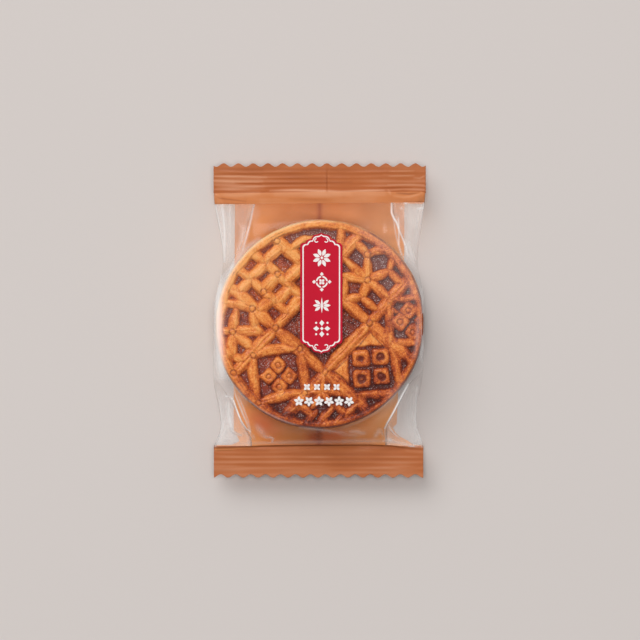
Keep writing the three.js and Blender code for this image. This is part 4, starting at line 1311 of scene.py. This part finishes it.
# Curl in each corner of the label: its radius, thickness and ends, and its place from the label's middle
CURL = (0.55, 0.32, -150, 95)
CURL_X, CURL_Y = 1.55, 16.75


def arc_between(a, b, bulge):
    """Points from a up to but without b, bulging to the right of the run."""
    run = np.subtract(b, a)
    side = np.array([run[1], -run[0]])
    shares = np.linspace(0, 1, ARC_STEPS, endpoint=False)
    return [tuple(np.add(a, run * t) + side * bulge * 4 * t * (1 - t)) for t in shares]


def plaque(scale):
    """Upright plaque with stepped scalloped ends, as a closed counter-clockwise outline."""
    quarter = []
    for a, b, bulge in zip(LABEL_QUARTER[:-1], LABEL_QUARTER[1:], LABEL_BULGES):
        quarter += arc_between(a, b, bulge)
    upper = quarter + [LABEL_QUARTER[-1]] + [(-x, y) for x, y in reversed(quarter)]
    whole = upper + [(-x, -y) for x, y in upper]
    return [(x * scale[0], y * scale[1]) for x, y in whole]


def slab(name, outlines, level, thickness, material, holes=None):
    """Flat closed plates over outlines; where holes gives one for each, the plate is a ring."""
    points, faces = [], []
    for index, outline in enumerate(outlines):
        n = len(outline)
        a, b, c, d = (len(points) + k * n for k in range(4))
        for loop in [outline] + ([holes[index]] if holes else []):
            for height in (level + thickness, level):
                points += [(x, y, height) for x, y in loop]
        steps = list(pairs(list(range(n))))
        if holes:
            for i, j in steps:
                faces += [[a + i, a + j, c + j, c + i], [b + j, b + i, d + i, d + j]]
                faces += [[a + j, a + i, b + i, b + j], [c + i, c + j, d + j, d + i]]
        else:
            faces += [list(range(a, b)), list(range(c - 1, b - 1, -1))]
            faces += [[a + j, a + i, b + i, b + j] for i, j in steps]
    return make_mesh(name, points, faces, material, smooth=False)


def moved(outline, centre, turn=0.0):
    c, s = math.cos(turn), math.sin(turn)
    return [(centre[0] + x * c - y * s, centre[1] + x * s + y * c) for x, y in outline]


def leaf(length, width, steps=8):
    """Pointed leaf from the middle outwards along +X."""
    upper = [(length * t, width / 2 * math.sin(math.pi * t)) for t in np.linspace(0, 1, steps)]
    return [(x, -y) for x, y in upper] + upper[-2:0:-1]


def circle(radius, steps=20):
    turns = np.linspace(0, 2 * math.pi, steps, endpoint=False)
    return [(radius * math.cos(a), radius * math.sin(a)) for a in turns]


def diamond(half, tall=None):
    return [(half, 0), (0, tall or half), (-half, 0), (0, -(tall or half))]


def curved_bar(radius, thickness, start, end):
    """Bar bent along an arc, angles in degrees."""
    turns = np.radians(np.linspace(start, end, BAR_STEPS))
    outer, inner = (
        [(r * math.cos(a), r * math.sin(a)) for a in turns]
        for r in (radius + thickness / 2, radius - thickness / 2)
    )
    return outer + inner[::-1]


def around(outline, count, radius, centre, start=0.0):
    """Copies of an outline set outwards round a centre."""
    shifted = [(x + radius, y) for x, y in outline]
    return [moved(shifted, centre, math.radians(start + 360 * k / count)) for k in range(count)]


def flower_motif(centre):
    return around(leaf(2.4, 1.15), 8, 0.6, centre, 22.5) + [moved(circle(0.42), centre)]


def ring_motif(centre):
    arcs = [moved(curved_bar(1.65, 0.5, 90 * k + 8, 90 * k + 82), centre) for k in range(4)]
    return arcs + around(diamond(0.62), 4, 2.45, centre) + around(leaf(1.0, 0.8), 4, 0.1, centre, 45)


def leaf_motif(centre):
    """Two rows of slanting leaves on a middle stem."""
    outline = [(x + 0.5, y) for x, y in leaf(2.3, 0.95)]
    turns = [side + turn for side in (0, 180) for turn in (-38, 0, 38)]
    leaves = [moved(outline, centre, math.radians(turn)) for turn in turns]
    return leaves + [moved(diamond(0.42, 2.5), centre)]


def diamond_motif(centre):
    petals = around(diamond(0.95, 0.8), 4, 1.75, centre) + [moved(diamond(0.6), centre)]
    return petals + around(circle(0.34, 12), 4, 2.55, centre, 45)


MOTIF_PIXELS = [(321.8, 258), (321.8, 282), (321.8, 305.5), (321.8, 328.5)]
UPPER_ROW_PIXELS = [(307, 386.8), (317, 386.8), (327, 386.8), (336.5, 386.8)]
LOWER_ROW_PIXELS = [(299, 401), (309, 401), (319, 401), (329, 401), (339, 401), (349, 401)]


def label(red, white):
    """Red plaque with its white line and generic motifs, and two rows of small florets below it."""
    centre = plan(LABEL_PIXEL)
    field, line, inner = (moved(plaque(scale), centre) for scale in (FIELD_OUTER, (1, 1), LINE_INNER))
    level = LABEL_LEVEL + LABEL_THICK
    motifs = []
    for pixel, motif in zip(MOTIF_PIXELS, (flower_motif, ring_motif, leaf_motif, diamond_motif)):
        motifs += motif(plan(pixel))
    for end in (1, -1):
        for side in (1, -1):
            curl = [(side * x, end * y) for x, y in curved_bar(*CURL)]
            curl = curl if side * end > 0 else curl[::-1]
            motifs.append(moved(curl, (centre[0] + side * CURL_X, centre[1] + end * CURL_Y)))
    small = []
    for pixel in UPPER_ROW_PIXELS:
        small += around(leaf(1.25, 0.85, 6), 4, 0.05, plan(pixel), 45)
    for index, pixel in enumerate(LOWER_ROW_PIXELS):
        small += around(leaf(1.55, 0.95, 6), 5, 0.1, plan(pixel), 18 + 36 * index)
    return [
        slab("label_field", [field], LABEL_LEVEL, LABEL_THICK, red),
        slab("label_line", [line], level, LABEL_THICK / 2, white, [inner]),
        slab("label_motifs", motifs, level, LABEL_THICK / 2, white),
        slab("print_row", small, LABEL_LEVEL, LABEL_THICK / 2, white),
    ]


# Studio

KEY_DIRECTION = (-0.55, 1.0, 1.25)
KEY_DISTANCE = 3000.0
KEY_SIZE = 2400.0
KEY_POWER = 47.0
TOP_SIZE = 1100.0
TOP_POWER = 43.5
SKY_NORTH = (0.340, 0.334, 0.330, 1)
SKY_SOUTH = (0.130, 0.128, 0.126, 1)
FLOOR_LIGHT = (0.618, 0.575, 0.556, 1)
FLOOR_DARK = (0.608, 0.565, 0.546, 1)
FLOOR_SIDE = 6000.0
CAMERA_DISTANCE = 2200.0
CAMERA_AIM = 12.0


def camera_above():
    """Camera straight above the middle of the photograph, far enough away to look flat."""
    centre = plan((PHOTO_SIDE / 2, PHOTO_SIDE / 2))
    camera = bpy.data.cameras.new("camera")
    camera.sensor_width = 36.0
    camera.lens = camera.sensor_width * CAMERA_DISTANCE / (PHOTO_SIDE * PIXEL)
    camera.clip_start, camera.clip_end = 0.05, 50.0
    view = placed("camera", camera)
    view.location = (centre[0] * MM, centre[1] * MM, (CAMERA_AIM + CAMERA_DISTANCE) * MM)
    bpy.context.scene.camera = view


def floor():
    def shader(tree):
        tone = mixed(tree, noise(tree, 120.0, 2), FLOOR_LIGHT, FLOOR_DARK)
        inputs = {"Base Color": tone, "Roughness": 0.8, "Specular IOR Level": 0.2}
        return node(tree, "BsdfPrincipled", inputs)

    half = FLOOR_SIDE / 2
    corners = [(-half, -half, 0), (half, -half, 0), (half, half, 0), (-half, half, 0)]
    make_mesh("floor", corners, [[0, 1, 2, 3]], surfaced("floor", shader), smooth=False)


def disc_lamp(name, direction, size, power):
    """Round soft lamp that faces the middle of the table."""
    lamp = bpy.data.lights.new(name, "AREA")
    lamp.shape = "DISK"
    lamp.size = size * MM
    lamp.energy = power
    lamp.color = (1.0, 0.990, 0.978)
    thing = placed(name, lamp)
    thing.location = Vector(direction).normalized() * KEY_DISTANCE * MM
    thing.rotation_mode = "QUATERNION"
    thing.rotation_quaternion = (-Vector(direction)).to_track_quat("-Z", "Y")
    return thing


def sky():
    """World that is brighter behind the object than before it, as by a window."""
    world = bpy.data.worlds.new("studio")
    world.use_nodes = True
    tree = world.node_tree
    place = node(tree, "TexCoord").outputs["Generated"]
    behind = node(tree, "SeparateXYZ", {0: place}).outputs["Y"]
    tone = mixed(tree, ranged(tree, behind, -0.9, 0.9), SKY_SOUTH, SKY_NORTH)
    tree.links.new(tone, tree.nodes["Background"].inputs[0])
    bpy.context.scene.world = world


def studio():
    scene = bpy.context.scene
    camera_above()
    floor()
    disc_lamp("key", KEY_DIRECTION, KEY_SIZE, KEY_POWER)
    disc_lamp("top", (0, 0, 1), TOP_SIZE, TOP_POWER).visible_glossy = False
    sky()
    scene.view_settings.view_transform = "Standard"
    scene.cycles.transparent_max_bounces = 24
    scene.cycles.max_bounces = 8


studio()
crust = surfaced("crust", crust_shader)
clear_film = surfaced("clear_film", film_shader)
printed_film = print_material("printed_film", (0.465, 0.142, 0.046), (0.420, 0.120, 0.036), see_through=False)
front_print = print_material("front_print", (0.620, 0.225, 0.080), (0.540, 0.180, 0.058))
back_print = print_material("back_print", (0.830, 0.345, 0.098), (0.760, 0.295, 0.080))
label_red = ink_material("label_red", (0.55, 0.009, 0.031))
label_white = ink_material("label_white", (0.88, 0.84, 0.82))

moulded = cake(crust)
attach(moulded, "root")
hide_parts("mooncake")

wrap = film(clear_film, front_print, back_print)
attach(wrap, "root")
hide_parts("film_pouch")

strips = [
    seal_band("upper_seal", UPPER_BAND, printed_film), seal_band("lower_seal", LOWER_BAND, printed_film),
    fin_seal(back_print),
]
for strip in strips:
    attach(strip, "root")

for piece in label(label_red, label_white):
    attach(piece, "root")
